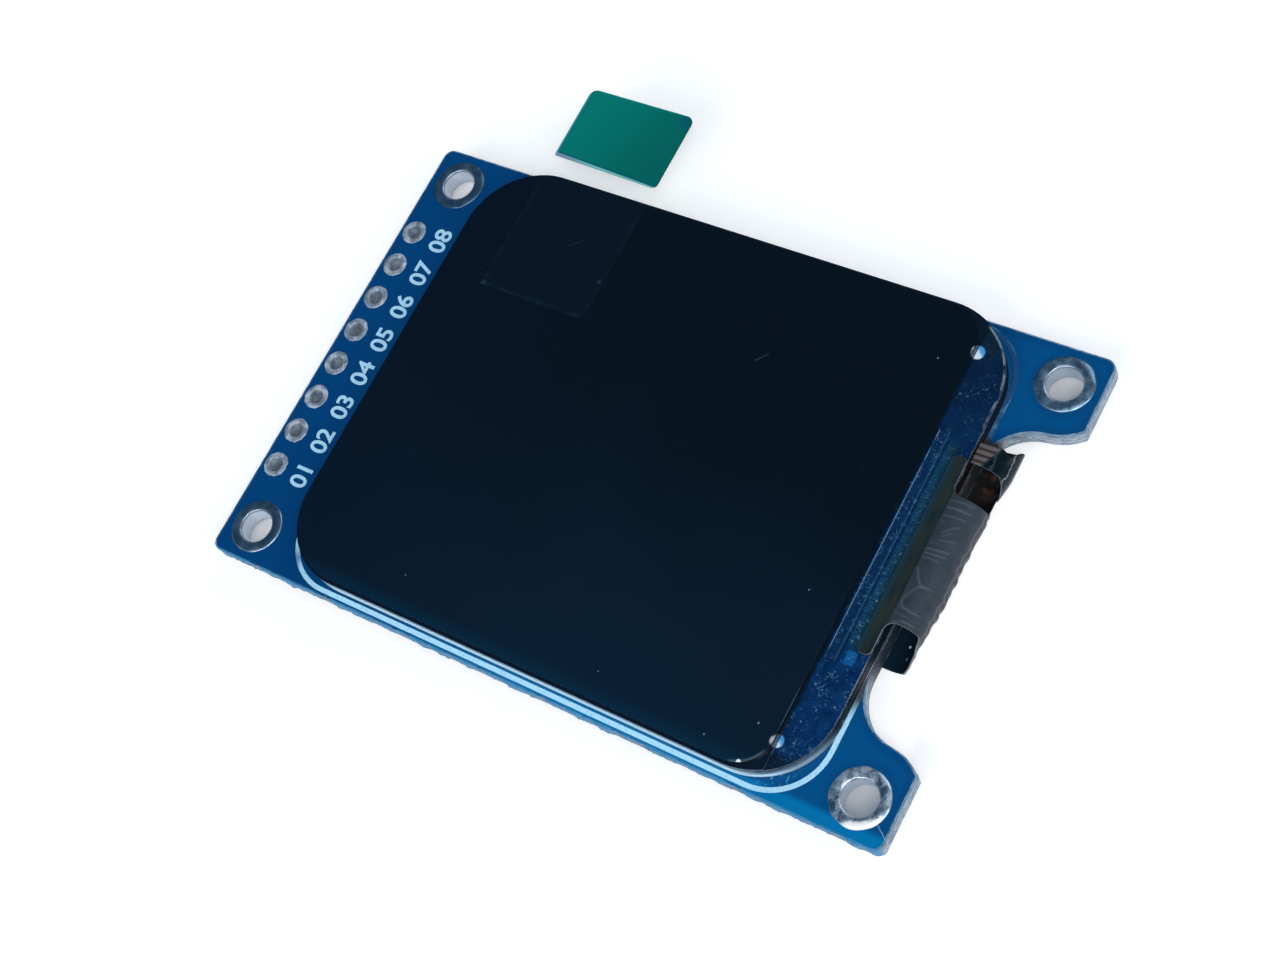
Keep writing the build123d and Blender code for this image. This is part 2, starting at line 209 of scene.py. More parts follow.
def dress(material, *names):
    """Gives a material to CAD nodes."""
    for name in names:
        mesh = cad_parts[name].data
        if not mesh.materials:
            mesh.materials.append(material)
        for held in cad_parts[name].material_slots:
            held.material = material


# Cut edge: mask of the upright faces, and the fine streaks that a cutter leaves along them.
cut_edge, given, result = new_group("cut_edge", ["Edge", "Streaks"], Place="Vector")
facing = add(cut_edge, "ShaderNodeTexCoord")["Normal"]
upright = abs(add(cut_edge, "ShaderNodeSeparateXYZ", {0: facing})[2])
put(result["Edge"], rise(upright, 0.7, 0.4))
put(result["Streaks"], noise(stretched(given["Place"], (1, 1, 5)), 2.2, 4, 0.65))

# Dust: small pale specks of several sizes, in a share of the cells of a pattern.
dust, given, result = new_group("dust", ["Specks"], Place="Vector", Amount="Float")
cells = add(dust, "ShaderNodeTexVoronoi", {"Vector": given["Place"], "Scale": 1.7})
pick = add(dust, "ShaderNodeSeparateColor", {0: cells["Color"]})
size = pick[0] * given["Amount"] * 0.09
kept = pick[1] < given["Amount"]
speck = rise(cells["Distance"], size + 0.03, size)
put(result["Specks"], speck * kept)

board_mask, shader, place, x, y, z = finish("blue_board_mask", Coat_Roughness=0.15, Specular_IOR_Level=0.14)
edge = effect(cut_edge, place)
specks = effect(dust, place, Amount=0.2)
mirrored_x, mirrored_y = abs(x), abs(y)
side_gap = board_width / 2 - mirrored_x
end_gap = board_length / 2 - mirrored_y
corner_y = notch_base_y - notch_radius
corner_x = hole_x - math.sqrt((ear_radius + notch_radius) ** 2 - (corner_y + hole_y) ** 2)
from_hole = distance_from(mirrored_x, mirrored_y, hole_x, hole_y)
arc_gap = distance_from(mirrored_x, y, corner_x, corner_y) - notch_radius
base_gap = y - notch_base_y
past_base = mirrored_x > corner_x
notch_gap = past_base * (arc_gap - base_gap) + base_gap
inner_ear = (mirrored_x < hole_x) * (y < -21.2)
outside_ear = (1 - inner_ear) * board_length
ear_gap = ear_radius - from_hole + outside_ear
outline_gap = smaller(smaller(side_gap, end_gap), smaller(notch_gap, ear_gap))
poured = rise(outline_gap, 0.4, 0.52)
ring_gap = between(from_hole, 1.7, 2.1, 0.2)
poured = poured * (1 - ring_gap)
cloud = noise(place, 0.25, 3)
mask_colour = tint(poured, mask_over_laminate, mask_over_copper)
mask_colour = tint(rise(y, -12.0, 22.0), mask_colour, mask_far_end)
near_panel = rise(x, -14.2, -14.7) * rise(y, 18.0, -8.0)
mask_colour = tint(near_panel, mask_colour, (0, 116, 172))
mask_colour = tint(cloud * 0.25, mask_colour, (4, 88, 140))
mask_colour = tint(specks["Specks"] * 0.4, mask_colour, (150, 180, 205))
along_scratch = x * -0.62 + y * -0.785
across_scratch = x * 0.785 - y * 0.62
waver_scratch = noise(place, 2.0, 1) * 0.2
scratch = between(across_scratch + waver_scratch, 3.44, 3.47, 0.03)
scratch = scratch * between(along_scratch, 26.7, 28.4, 0.1)
mask_colour = tint(scratch * 0.8, mask_colour, (170, 206, 226))
glints = between(x, -14.7, -13.2, 0.3) * between(y, -17.6, -16.0, 0.3)
glints = glints * rise(noise(stretched(place, (1.2, 2.6, 1), 0.9), 2.2, 2), 0.58, 0.66)
mask_colour = tint(glints * 0.55, mask_colour, (90, 176, 220))
# Painted shade: the mask under the flex fold's cut-out is painted dark brown, standing in for the fold's
# shadow.
fold_shade_on_mask = between(x, 3.6, 8.2, 0.3) * rise(y, -18.6, -18.8)
mask_colour = tint(fold_shade_on_mask, mask_colour, (30, 26, 26))
laminate = tint(edge["Streaks"], laminate_dark, laminate_light)
feed(
    shader,
    Base_Color=tint(edge["Edge"], mask_colour, laminate),
    Roughness=0.35 + edge["Edge"] * 0.35,
    Coat_Weight=0.07 - edge["Edge"] * 0.07,
    Normal=relief(poured + noise(place, 3.0) * 0.4, 0.01),
)
dress(board_mask, "circuit_board")


def line(start, end, step=0.16):
    """Evenly spaced points of a straight run, its end left out."""
    start, end = np.array(start, float), np.array(end, float)
    count = max(2, int(np.linalg.norm(end - start) / step))
    return start + (end - start) * np.arange(count)[:, None] / count


def arc(centre, radius, first, last, step=0.16):
    """Evenly spaced points of a circle from one angle in degrees to another, its end left out."""
    count = max(5, int(abs(math.radians(last - first)) * radius / step))
    angle = np.radians(first + (last - first) * np.arange(count) / count)
    return np.array(centre, float) + radius * np.stack([np.cos(angle), np.sin(angle)], 1)


def ripple(phase, count, lowest, highest, seed):
    """Uneven wave of an angle-like phase: a sum of sines whose counts per turn are drawn between two
    bounds, each with its own start, divided by the root of their number."""
    draw = np.random.RandomState(seed)
    turns = draw.randint(lowest, highest, count)
    starts = draw.uniform(0, 2 * np.pi, count)
    waves = np.sin(phase[..., None] * turns + starts)
    return waves.sum(-1) / math.sqrt(count)


def grid_faces(rows, columns, rows_close=False, columns_close=False):
    """Quads between the neighbours of a grid of points stored row by row. A closed direction joins
    its last line to its first."""
    row = np.arange(rows if rows_close else rows - 1)[:, None]
    column = np.arange(columns if columns_close else columns - 1)[None, :]
    next_row, next_column = (row + 1) % rows, (column + 1) % columns
    corners = [(row, column), (row, next_column), (next_row, next_column), (next_row, column)]
    quads = np.broadcast_arrays(*(down * columns + across for down, across in corners))
    return np.stack(quads, -1).reshape(-1, 4)


def new_object(name, data):
    """Object of the scene that holds a mesh, some writing, a lamp or a camera."""
    made = bpy.data.objects.new(name, data)
    bpy.context.scene.collection.objects.link(made)
    return made


def new_piece(name, points, faces, material, slot, stands_for=(), smooth=True):
    """Object made of points in millimetres and faces, with its material. It rides on the board and
    stands for the CAD nodes that are named."""
    mesh = bpy.data.meshes.new(name)
    metres = np.asarray(points).reshape(-1, 3) / 1000
    mesh.from_pydata(metres.tolist(), [], faces if isinstance(faces, list) else faces.tolist())
    mesh.polygons.foreach_set("use_smooth", np.full(len(mesh.polygons), smooth))
    mesh.materials.append(material)
    mesh.update()
    made = new_object(name, mesh)
    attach(made, "root")
    if stands_for:
        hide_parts(*stands_for)
    return made


# Routed edge: a closed skin of laminate carried round the board's outline, wavy and torn by the
# cutter, a few hundredths of a millimetre proud of the plain cut.
mouth_angle = math.degrees(math.asin((board_length / 2 - hole_y) / ear_radius))
touch_angle = math.degrees(math.atan2(-corner_y - hole_y, hole_x - corner_x))
mouth_x = hole_x - ear_radius * math.cos(math.radians(mouth_angle))
side_x, end_y = board_width / 2, board_length / 2
inner_x, inner_y = side_x - board_corner, end_y - board_corner
outline = np.concatenate(
    [
        line((mouth_x, -end_y), (inner_x, -end_y)),
        arc((inner_x, -inner_y), board_corner, -90, 0),
        line((side_x, -inner_y), (side_x, inner_y)),
        arc((inner_x, inner_y), board_corner, 0, 90),
        line((inner_x, end_y), (-inner_x, end_y)),
        arc((-inner_x, inner_y), board_corner, 90, 180),
        line((-side_x, inner_y), (-side_x, -inner_y)),
        arc((-inner_x, -inner_y), board_corner, 180, 270),
        line((-inner_x, -end_y), (-mouth_x, -end_y)),
        arc((-hole_x, -hole_y), ear_radius, -mouth_angle, -touch_angle),
        arc((-corner_x, corner_y), notch_radius, 180 - touch_angle, 90),
        line((-corner_x, notch_base_y), (corner_x, notch_base_y)),
        arc((corner_x, corner_y), notch_radius, 90, touch_angle),
        arc((hole_x, -hole_y), ear_radius, 180 + touch_angle, 180 + mouth_angle),
    ]
)
heading = np.roll(outline, -1, 0) - np.roll(outline, 1, 0)
heading /= np.linalg.norm(heading, axis=1)[:, None]
outward = np.stack([heading[:, 1], -heading[:, 0]], 1)
edge_reach = [-0.1, -0.01, 0.02, 0.03, 0.025, 0.03, 0.02, -0.01, -0.06, -0.1]
edge_height = [-1.19, -1.2, -1.12, -0.9, -0.6, -0.3, -0.08, 0.006, 0.008, -0.02]
section = np.stack([edge_reach, edge_height], 1)
turn = np.linspace(0, 2 * np.pi, len(outline), endpoint=False)
torn = np.stack([ripple(turn, 24, 60, 420, 11 + level) for level in range(len(section))], 1)
waver = ripple(turn, 12, 20, 120, 5)[:, None]
open_face = (section[:, 0] > -0.05).astype(float)
rough_side = 1 + 2.2 * np.clip((-outline[:, :1] - 14.0) / 1.2, 0, 1)
reach = section[:, 0] + open_face * rough_side * (0.011 * torn + 0.011 * waver)
edge_points = np.concatenate(
    [
        outline[:, None, :] + outward[:, None, :] * reach[:, :, None],
        np.broadcast_to(section[:, 1], reach.shape)[:, :, None],
    ],
    -1,
)
routed, shader, place, x, y, z = finish("routed_laminate", IOR=1.45)
fibre = noise(stretched(place, (1, 1, 3)), 2.4, 5, 0.7)
weave = between(noise(stretched(place, (1, 1, 6)), 1.2, 2), 0.5, 0.62, 0.05)
pale = tint(rise(fibre, 0.35, 0.68), laminate_dark, laminate_light)
pale = tint(weave * 0.45, pale, (226, 233, 240))
teal_side = rise(x, -14.9, -15.2) * 0.85
pale = tint(teal_side, pale, (34, 136, 184))
# Painted shadow: under the fold the routed edge is painted dark, bluish towards -X and brown towards +X,
# standing in for the fold's shade.
behind_fold = rise(x, -7.6, -6.0) * rise(x, 8.7, 8.3)
fold_shadow = behind_fold * between(y, -20.0, -17.0, 0.6)
fold_shadow_tone = tint(rise(x, 2.0, 4.0), (22, 32, 42), (20, 15, 14))
shade_end = rise(z, -0.5, -0.02)
pale = tint(shade_end * 0.55, pale, tint(teal_side, (44, 104, 144), (20, 126, 176)))
feed(
    shader,
    Base_Color=tint(fold_shadow * 0.95, pale, fold_shadow_tone),
    Roughness=0.4 + fibre * 0.3,
    Normal=relief(fibre, 0.05),
)
faces = grid_faces(len(outline), len(section), True, True)[:, ::-1]
new_piece("routed_edge", edge_points, faces, routed, "board")


# Mounting holes: each is a copper barrel with a ring on both faces, dipped in tin that set in soft
# lumps, thickest between the hole and the rim.
mounting_bore, mounting_rim = 1.075, 1.75
face_rows, barrel_rows = 13, 7


def tinned_eyelet(centre_x, centre_y, bore, rim, crown, lump, seed, round_steps=112):
    """Ring with a barrel, turned from a closed section. The section's height over the board follows
    half a sine wave from rim to bore, and both it and the radius waver with the angle."""
    angle = np.linspace(0, 2 * np.pi, round_steps, endpoint=False)[:, None]
    share = np.linspace(0, 1, face_rows)
    face_radius = rim + (bore - rim) * share
    face_height = crown * (0.35 * share + np.sin(np.pi * np.clip(share * 0.96, 0, 1)) ** 0.8)
    barrel_height = np.linspace(-0.06, -board_thickness + 0.06, barrel_rows)
    radius = np.concatenate([face_radius, np.full(barrel_rows, bore - 0.015), face_radius[::-1]])
    height = np.concatenate([face_height, barrel_height, -board_thickness - face_height[::-1]])
    swell = np.stack([ripple(angle[:, 0], 9, 2, 13, seed + step) for step in (0, 1, 2)], 1)
    blend = np.clip((rim - radius) / (rim - bore), 0, 1)
    lumps = swell[:, :1] * (1 - blend) + swell[:, 1:2] * blend
    side = np.where(height > -board_thickness / 2, 1.0, -1.0)
    wall = (np.abs(height + board_thickness / 2) < board_thickness / 2 - 0.01).astype(float)
    height = height + lumps * lump * np.sin(np.pi * blend) * side
    radius = radius + 0.014 * swell[:, 2:3] * (1 - wall) * (1 - blend) + 0.012 * swell[:, 1:2] * wall
    return np.stack([centre_x + radius * np.cos(angle), centre_y + radius * np.sin(angle), height], -1)


def closed_rings(grids):
    """Points and faces of several grids that close in both directions."""
    points, faces, start = [], [], 0
    for grid in grids:
        rows, columns = grid.shape[:2]
        points.append(grid.reshape(-1, 3))
        faces.append(grid_faces(rows, columns, True, True)[:, ::-1] + start)
        start += rows * columns
    return np.concatenate(points), np.concatenate(faces)


# Tin skin: shallow lumps, grains and dull patches of tin that set in air.
tin_skin, given, result = new_group("tin_skin", ["Tone", "Height", "Dull"], Place="Vector")
broad = noise(given["Place"], 1.6, 2)
grain = noise(given["Place"], 7.0, 4, 0.6)
put(result["Tone"], broad * 0.6 + grain * 0.4)
put(result["Height"], broad + grain * 0.25)
put(result["Dull"], rise(broad, 0.45, 0.7))


def tinned(name, dark, light, roughness, metal=0.8):
    """Tinned metal: its tone, dull patches and lumps come from the tin skin."""
    material, shader, place, x, y, z = finish(name, IOR=1.6)
    skin = effect(tin_skin, place)
    feed(
        shader,
        Base_Color=tint(rise(skin["Tone"], 0.35, 0.65), dark, light),
        Metallic=metal - skin["Dull"] * 0.35,
        Roughness=roughness + skin["Dull"] * 0.2,
        Normal=relief(skin["Height"], 0.05, 0.7),
    )
    return material


ring_tin, shader, place, x, y, z = finish("mounting_ring_tin", IOR=1.6)
skin = effect(tin_skin, place)
mirrored_x, mirrored_y = abs(x), abs(y)
from_hole = distance_from(mirrored_x, mirrored_y, hole_x, hole_y)
# Painted light: the ring at -X, -Y is painted as a lit copy of the tin and the others as shaded copies.
lit_ring = rise(x, 5.0, -5.0) * rise(y, 5.0, -5.0)
plain = tint(rise(skin["Tone"], 0.4, 0.6), (72, 106, 132), (120, 150, 172))
header_end = rise(y, -5.0, 5.0)
plain = tint(header_end * 0.6, plain, (54, 88, 114))
lit_tin_tone = tint(rise(skin["Tone"], 0.38, 0.6), (76, 108, 136), (196, 212, 226))
metal = tint(lit_ring, plain, lit_tin_tone)
# Painted highlights: a white crescent on the side towards the lamp and a light line along the rim.
toward_lamp = x * -0.87 + y * -0.49
highlight_crescent = rise(toward_lamp + skin["Tone"] * 0.5, 23.2, 23.5)
highlight_crescent = highlight_crescent * lit_ring * rise(from_hole, 1.2, 1.35)
metal = tint(highlight_crescent, metal, (252, 254, 255))
ring_edge_highlight = rise(from_hole, 1.66, 1.73) * rise(toward_lamp, -3.0, 3.0)
metal = tint(ring_edge_highlight * 0.6, metal, (206, 224, 236))
# Painted highlight along the bore's lip.
lip_highlight = between(from_hole, 1.02, 1.16, 0.03)
metal = tint(lip_highlight * 0.4, metal, (214, 222, 230))
barrel = rise(z, -0.04, -0.12)
metal = tint(barrel, metal, tint(header_end, (178, 190, 206), (210, 220, 234)))
dusty = effect(dust, stretched(place, (2.4, 2.4, 2.4)), Amount=0.5)
metal = tint(dusty["Specks"] * 0.5, metal, (220, 230, 238))
feed(
    shader,
    Base_Color=metal,
    Metallic=0.75 - larger(highlight_crescent, barrel) * 0.55,
    Roughness=0.3 + skin["Dull"] * 0.2,
    Normal=relief(skin["Height"], 0.028, 0.6),
)
eyelets = [
    tinned_eyelet(side * hole_x, end * hole_y, mounting_bore, mounting_rim, 0.1, 0.014, 40 + 7 * number)
    for number, (side, end) in enumerate([(-1, -1), (1, -1), (-1, 1), (1, 1)])
]
rings = closed_rings(eyelets)
new_piece("mounting_ring_tinning", *rings, ring_tin, "tinned_copper", ["mounting_hole_platings"])


# Header holes: eight plated holes at the standard pitch, with small round pads that carry the same
# lumpy tin as the mounting rings.
header_pitch, header_y, header_bore, header_rim = 2.54, 22.7, 0.49, 0.83
header_x = (np.arange(8) - 3.5) * header_pitch
pad_tin = tinned("header_pad_tin", (116, 132, 150), (182, 194, 208), 0.42, 0.35)
eyelets = [
    tinned_eyelet(centre, header_y, header_bore, header_rim, 0.045, 0.022, 90 + 5 * number, 64)
    for number, centre in enumerate(header_x)
]
new_piece("header_pad_tinning", *closed_rings(eyelets), pad_tin, "tinned_copper")


# White print: an epoxy ink line round the place of the panel, and a plain number beside each header
# hole. The ink is a little thin and speckled where it runs over the mask.
white_ink, shader, place, x, y, z = finish("white_board_ink")
specks = noise(place, 6.0, 3, 0.7)
thin = rise(specks, 0.5, 0.72) * 0.45
ink = tint(thin, (178, 226, 250), (74, 156, 202))
worn_end = between(y, 17.3, 19.3, 0.3) * rise(x, -13.0, -13.8)
ink = tint(worn_end * 0.7, ink, (0, 84, 140))
# Painted shade: beside the panel on the +X side the print is painted dim for the panel's shadow, and only
# broken pieces of its outer strip stay light.
panel_shaded_print = rise(x, 5.0, 9.0) * rise(y, 19.0, 17.0)
from_bend = distance_from(x, y, 11.32, -15.36)
outer_strip = rise(from_bend, 3.66, 3.7) * rise(noise(place, 0.9, 3), 0.46, 0.56)
faint = tint(outer_strip * 0.5, (0, 70, 122), (84, 146, 180))
shown = tint(panel_shaded_print, ink, faint)
in_shade = rise(y, -17.6, -18.4) * rise(x, -9.4, -8.0) * rise(x, 8.7, 8.3)
shade_tone = tint(rise(x, 3.0, 4.4), (58, 70, 82), (34, 28, 28))
feed(
    shader,
    Base_Color=tint(in_shade, shown, shade_tone),
    Roughness=0.42 + specks * 0.3,
    Normal=relief(specks, 0.02),
)
dress(white_ink, "panel_outline_print")

number_height, number_y, ink_thickness, ink_clearance = 1.2, 20.45, 0.02, 0.002
size_to_height, bolder_by, curve_steps = 1.42, 0.035, 6
number_points, number_faces, start = [], [], 0
for position, centre in enumerate(header_x):
    curve = bpy.data.curves.new(f"pin_number_{position + 1}", "FONT")
    curve.body = f"{position + 1:02d}"
    curve.align_x, curve.align_y = "CENTER", "CENTER"
    curve.size = number_height * size_to_height
    curve.offset = bolder_by
    curve.extrude = ink_thickness / 2
    curve.resolution_u = curve_steps
    writing = new_object("pin_number", curve)
    shape = bpy.data.meshes.new_from_object(writing)
    corners = np.zeros(len(shape.vertices) * 3)
    shape.vertices.foreach_get("co", corners)
    number_points.append(corners.reshape(-1, 3) + (centre, number_y, ink_thickness / 2 + ink_clearance))
    number_faces += [[start + corner for corner in face.vertices] for face in shape.polygons]
    start += len(shape.vertices)
    bpy.data.objects.remove(writing)
    bpy.data.curves.remove(curve)
    bpy.data.meshes.remove(shape)
rounded = np.round(np.concatenate(number_points), 4)
number_points, merged = np.unique(rounded, axis=0, return_inverse=True)
merged = merged.ravel()
number_faces = [list(dict.fromkeys(merged[face].tolist())) for face in number_faces]
number_faces = [face for face in number_faces if len(face) > 2]
new_piece("pin_numbers", number_points, number_faces, white_ink, "white_print", smooth=False)


# Parts on the back: a voltage regulator and a transistor in black moulded packages, six small
# ceramic chip parts, and the tinned pads and leads that they are soldered by.
mould, shader, place, x, y, z = finish("moulded_package")
pits = noise(place, 14.0, 3, 0.6)
feed(
    shader,
    Base_Color=tint(pits, (18, 19, 21), (44, 45, 48)),
    Roughness=0.5 + pits * 0.25,
    Normal=relief(pits, 0.02),
)
dress(mould, "regulator_body", "transistor_body")
dress(tinned("tinned_lead", (130, 134, 138), (206, 208, 210), 0.28), "regulator_leads", "transistor_leads")
dress(tinned("tinned_pad", (140, 144, 148), (214, 216, 218), 0.3), "component_pads")


def chip_ceramic(name, dark, light):
    """Ceramic block between two tinned caps. The caps are where the distance along X from the
    column's middle passes the length of the bare block."""
    material, shader, place, x, y, z = finish(name, IOR=1.6)
    along = abs(abs(x) - 3.6)
    cap = rise(along, 0.49, 0.51)
    grains = noise(place, 12.0, 4, 0.6)
    skin = effect(tin_skin, place)
    ceramic = tint(grains, dark, light)
    tin = tint(skin["Tone"], (150, 154, 158), (216, 218, 220))
    feed(
        shader,
        Base_Color=tint(cap, ceramic, tin),
        Metallic=cap * 0.9,
        Roughness=0.55 - cap * 0.25,
        Normal=relief(grains + skin["Height"], 0.015),
    )
    return material


dress(chip_ceramic("capacitor_ceramic", (120, 92, 64), (158, 126, 92)), "capacitors")
dress(chip_ceramic("resistor_glaze", (20, 22, 26), (52, 56, 62)), "resistors")


# Backlight: a white moulded frame with a clear light guide, a silver reflector, lamps and films in
# it, held to the board by double-sided tape and to the glass by black rim tape. The polarisers on
# both sides of the glass are plain sheets too.
def plain_sheet(name, dark, light, roughness, grain, depth, metal=0.0, index=1.5):
    """Sheet or moulding with a fine grain: one noise sets its tone, gloss and relief, and the cut
    edges are a little paler."""
    material, shader, place, x, y, z = finish(name, Metallic=metal, IOR=index)
    edge = effect(cut_edge, place)
    fine = noise(place, grain, 4, 0.6)
    body = tint(fine, dark, light)
    feed(
        shader,
        Base_Color=tint(edge["Edge"] * edge["Streaks"] * 0.4, body, light),
        Roughness=roughness + fine * 0.15,
        Normal=relief(fine, depth),
    )
    return material


for node, *look in [
    ("panel_tape", "panel_adhesive_sheet", (176, 180, 182), (214, 216, 216), 0.5, 4.0, 0.02),
    ("reflector_film", "silver_reflector", (168, 174, 182), (214, 220, 226), 0.22, 1.2, 0.01, 0.8),
    ("light_guide", "light_guide_acrylic", (196, 212, 222), (232, 240, 244), 0.1, 2.0, 0.004, 0.0, 1.49),
    ("backlight_lamps", "lamp_phosphor", (226, 206, 96), (246, 232, 150), 0.45, 6.0, 0.01),
    ("diffuser_film", "diffuser_sheet", (214, 218, 220), (240, 242, 244), 0.55, 9.0, 0.01, 0.0, 1.55),
    ("rim_tape", "black_rim_tape", (10, 12, 15), (26, 29, 33), 0.5, 5.0, 0.02),
    ("rear_polariser", "rear_polariser_sheet", (22, 24, 27), (40, 43, 46), 0.18, 2.0, 0.004),
    ("front_polariser", "front_polariser_sheet", (4, 10, 17), (10, 18, 28), 0.2, 1.6, 0.004),
]:
    dress(plain_sheet(*look), node)

frame_white, shader, place, x, y, z = finish("white_frame_moulding", Specular_IOR_Level=0.08)
fine = noise(place, 3.0, 4, 0.6)
white = tint(fine, (194, 228, 248), (224, 246, 255))
corner_shade = rise(z, 0.4, 0.8) * rise(y, -14.0, -16.5)
white = tint(corner_shade * 0.9, white, (52, 84, 110))
# Painted shade: the frame is painted darker towards the -Y end.
white = tint(rise(y, -16.6, -17.8) * 0.6, white, (84, 108, 128))
# Painted shade: along the end by the ledge the frame is painted dark, and brown under the lamp tail, with
# broken painted highlights on its -X part.
end_shade_mask = rise(x, -12.4, -10.0) * rise(y, -13.5, -15.0)
broken_highlights = rise(noise(stretched(place, (1, 1, 2)), 1.1, 4, 0.7), 0.66, 0.7)
broken_highlights = broken_highlights * rise(x, -4.0, -7.0)
end_shade_tone = tint(between(x, 3.7, 7.9, 0.3), (14, 26, 38), (20, 16, 16))
end_shade_tone = tint(broken_highlights, end_shade_tone, (140, 156, 168))
white = tint(end_shade_mask, white, end_shade_tone)
feed(shader, Base_Color=white, Roughness=0.38 + fine * 0.15, Normal=relief(fine, 0.02))
dress(frame_white, "backlight_frame")

prism, shader, place, x, y, z = finish("prism_film_ridges", IOR=1.56)
wave = {"Vector": place, "Scale": 3.2, "Distortion": 0.3}
ridges = add(place.tree, "ShaderNodeTexWave", wave, bands_direction="X")[1]
feed(
    shader,
    Base_Color=tint(ridges, (180, 188, 196), (228, 234, 240)),
    Roughness=0.16 + ridges * 0.1,
    Normal=relief(ridges, 0.03),
)
dress(prism, "lower_prism_film", "upper_prism_film")


# Glass: two thin sheets with ground edges. The lower one is longer, and its bare ledge shows deep
# blue, with grit, fine tracks by the driver chip and a bright round peep hole near each end.
peep_spots = [(-12.22, -16.36, 0.4), (12.66, -16.52, 0.44)]
panel_middle_x = 0.23


def peep_mask(x, y, height):
    """Mask of the two round peep holes in the rim tape, full in the middle and soft at the rim. The
    holes lie deeper than the face that shows them, so they shift with its height over the ledge."""
    shift_x, shift_y = -0.3 * height, -0.39 * height
    spots = [
        rise(distance_from(x, y, spot_x + shift_x, spot_y + shift_y), radius + 0.04, radius - 0.08)
        for spot_x, spot_y, radius in peep_spots
    ]
    return spots[0] + spots[1]


# Trapped grit: bright uneven flecks of several sizes, and short thin curls along the level lines of a
# noise, as crumbs and creases of glue under the glass show.
trapped_grit, given, result = new_group("trapped_grit", ["Flecks", "Curls"], Place="Vector")
crumbs = add(trapped_grit, "ShaderNodeTexVoronoi", {"Vector": given["Place"], "Scale": 2.7})
pick = add(trapped_grit, "ShaderNodeSeparateColor", {0: crumbs["Color"]})
uneven = crumbs["Distance"] + noise(given["Place"], 9.0, 3, 0.6) * 0.5
reach = pick[0] ** 3.0 * 0.13 + 0.3
flecks = rise(uneven, reach + 0.05, reach)
faint = pick[2] ** 2.0 * 0.8 + 0.15
put(result["Flecks"], flecks * faint)
level = noise(given["Place"], 2.6, 2) - 0.5
thread = rise(abs(level), 0.03, 0.008)
broken = rise(noise(given["Place"], 1.9, 3), 0.52, 0.6)
put(result["Curls"], thread * broken)

ledge, shader, place, x, y, z = finish("array_glass_ledge", Coat_Roughness=0.06, Specular_IOR_Level=0.15)
edge = effect(cut_edge, place)
specks = effect(dust, stretched(place, (1.6, 1.6, 1.6)), Amount=0.9)
grit = effect(trapped_grit, place)
clouds = noise(place, 1.1, 6, 0.7)
darker_end = rise(x + clouds * 9.0, 6.0, 18.0)
deep = tint(rise(clouds, 0.36, 0.66), (0, 34, 76), (8, 54, 102))
deep = tint(darker_end * 0.8, deep, (4, 24, 46))
tracks = between(y, -18.06, -17.42, 0.09) * between(x, -5.9, 7.1, 0.3)
comb = noise(stretched(place, (3.0, 0.5, 1)), 1.6, 5, 0.7)
tracks_colour = tint(rise(comb, 0.3, 0.7), (2, 44, 68), (30, 78, 102))
tracks_colour = tint(rise(y, -17.55, -18.05), tracks_colour, (18, 46, 54))
deep = tint(tracks * 0.75, deep, tracks_colour)
patch = between(y, -18.25, -17.65, 0.08) * between(x, -6.9, -6.1, 0.1)
deep = tint(patch * 0.7, deep, (18, 96, 158))
curls = grit["Curls"] * (rise(x, 6.0, 0.0) * 0.5 + 0.15)
deep = tint(curls, deep, (80, 130, 168))
deep = tint(specks["Specks"] * 0.3, deep, (120, 160, 190))
flecks = grit["Flecks"] * (rise(x, 8.0, 0.0) * 0.4 + 0.6)
deep = tint(flecks, deep, (142, 182, 212))
ground_x, ground_y = abs(x - panel_middle_x) - 10.05, -14.08 - y
from_corner = distance_from(larger(ground_x, 0.0), larger(ground_y, 0.0), 0.0, 0.0)
# Painted highlight: a broken light arc on the ledge by the glass's ground corner at +X.
bevel_highlight = between(from_corner, 4.66, 4.78, 0.03) * rise(x, 7.6, 9.0)
bevel_highlight = bevel_highlight * rise(noise(place, 1.4, 3), 0.36, 0.6)
dark_corner = rise(x, 12.2, 13.6) * rise(y, -18.6, -17.2)
deep = tint(dark_corner * 0.8, deep, (14, 32, 44))
left_corner = rise(x, -12.4, -13.2) * rise(y, -18.5, -17.4)
deep = tint(left_corner * 0.85, deep, (8, 22, 34))
deep = tint(bevel_highlight * 0.8, deep, (126, 142, 154))
toward_tab = x * 0.75 - y * 0.66
blue_part = between(toward_tab, 1.72, 3.0, 0.12) + between(toward_tab, 20.5, 22.0, 0.12)
spot_light = tint(blue_part, (214, 236, 250), (72, 158, 222))
deep = tint(peep_mask(x, y, 0.0), deep, spot_light)
# Painted highlights: broken light lines along the top and bottom of the glass's cut edge, and a lighter, lit
# cut edge on the -X side.
upper_line = rise(z, 1.19, 1.23) * rise(edge["Streaks"], 0.35, 0.6)
lower_line = rise(z, 1.07, 1.03) * rise(edge["Streaks"], 0.45, 0.6)
side_lines = larger(upper_line, lower_line * 0.7)
lit_left_side = rise(x, -13.6, -14.2) * rise(y, -15.0, -13.5)
rim = tint(side_lines, tint(lit_left_side, (22, 38, 50), (120, 158, 184)), (168, 182, 194))
feed(
    shader,
    Base_Color=tint(edge["Edge"], deep, rim),
    Roughness=0.25 + edge["Edge"] * 0.3,
    Coat_Weight=0.6 - edge["Edge"] * 0.4,
    Normal=relief(clouds + grit["Curls"], 0.02),
)
dress(ledge, "array_glass")

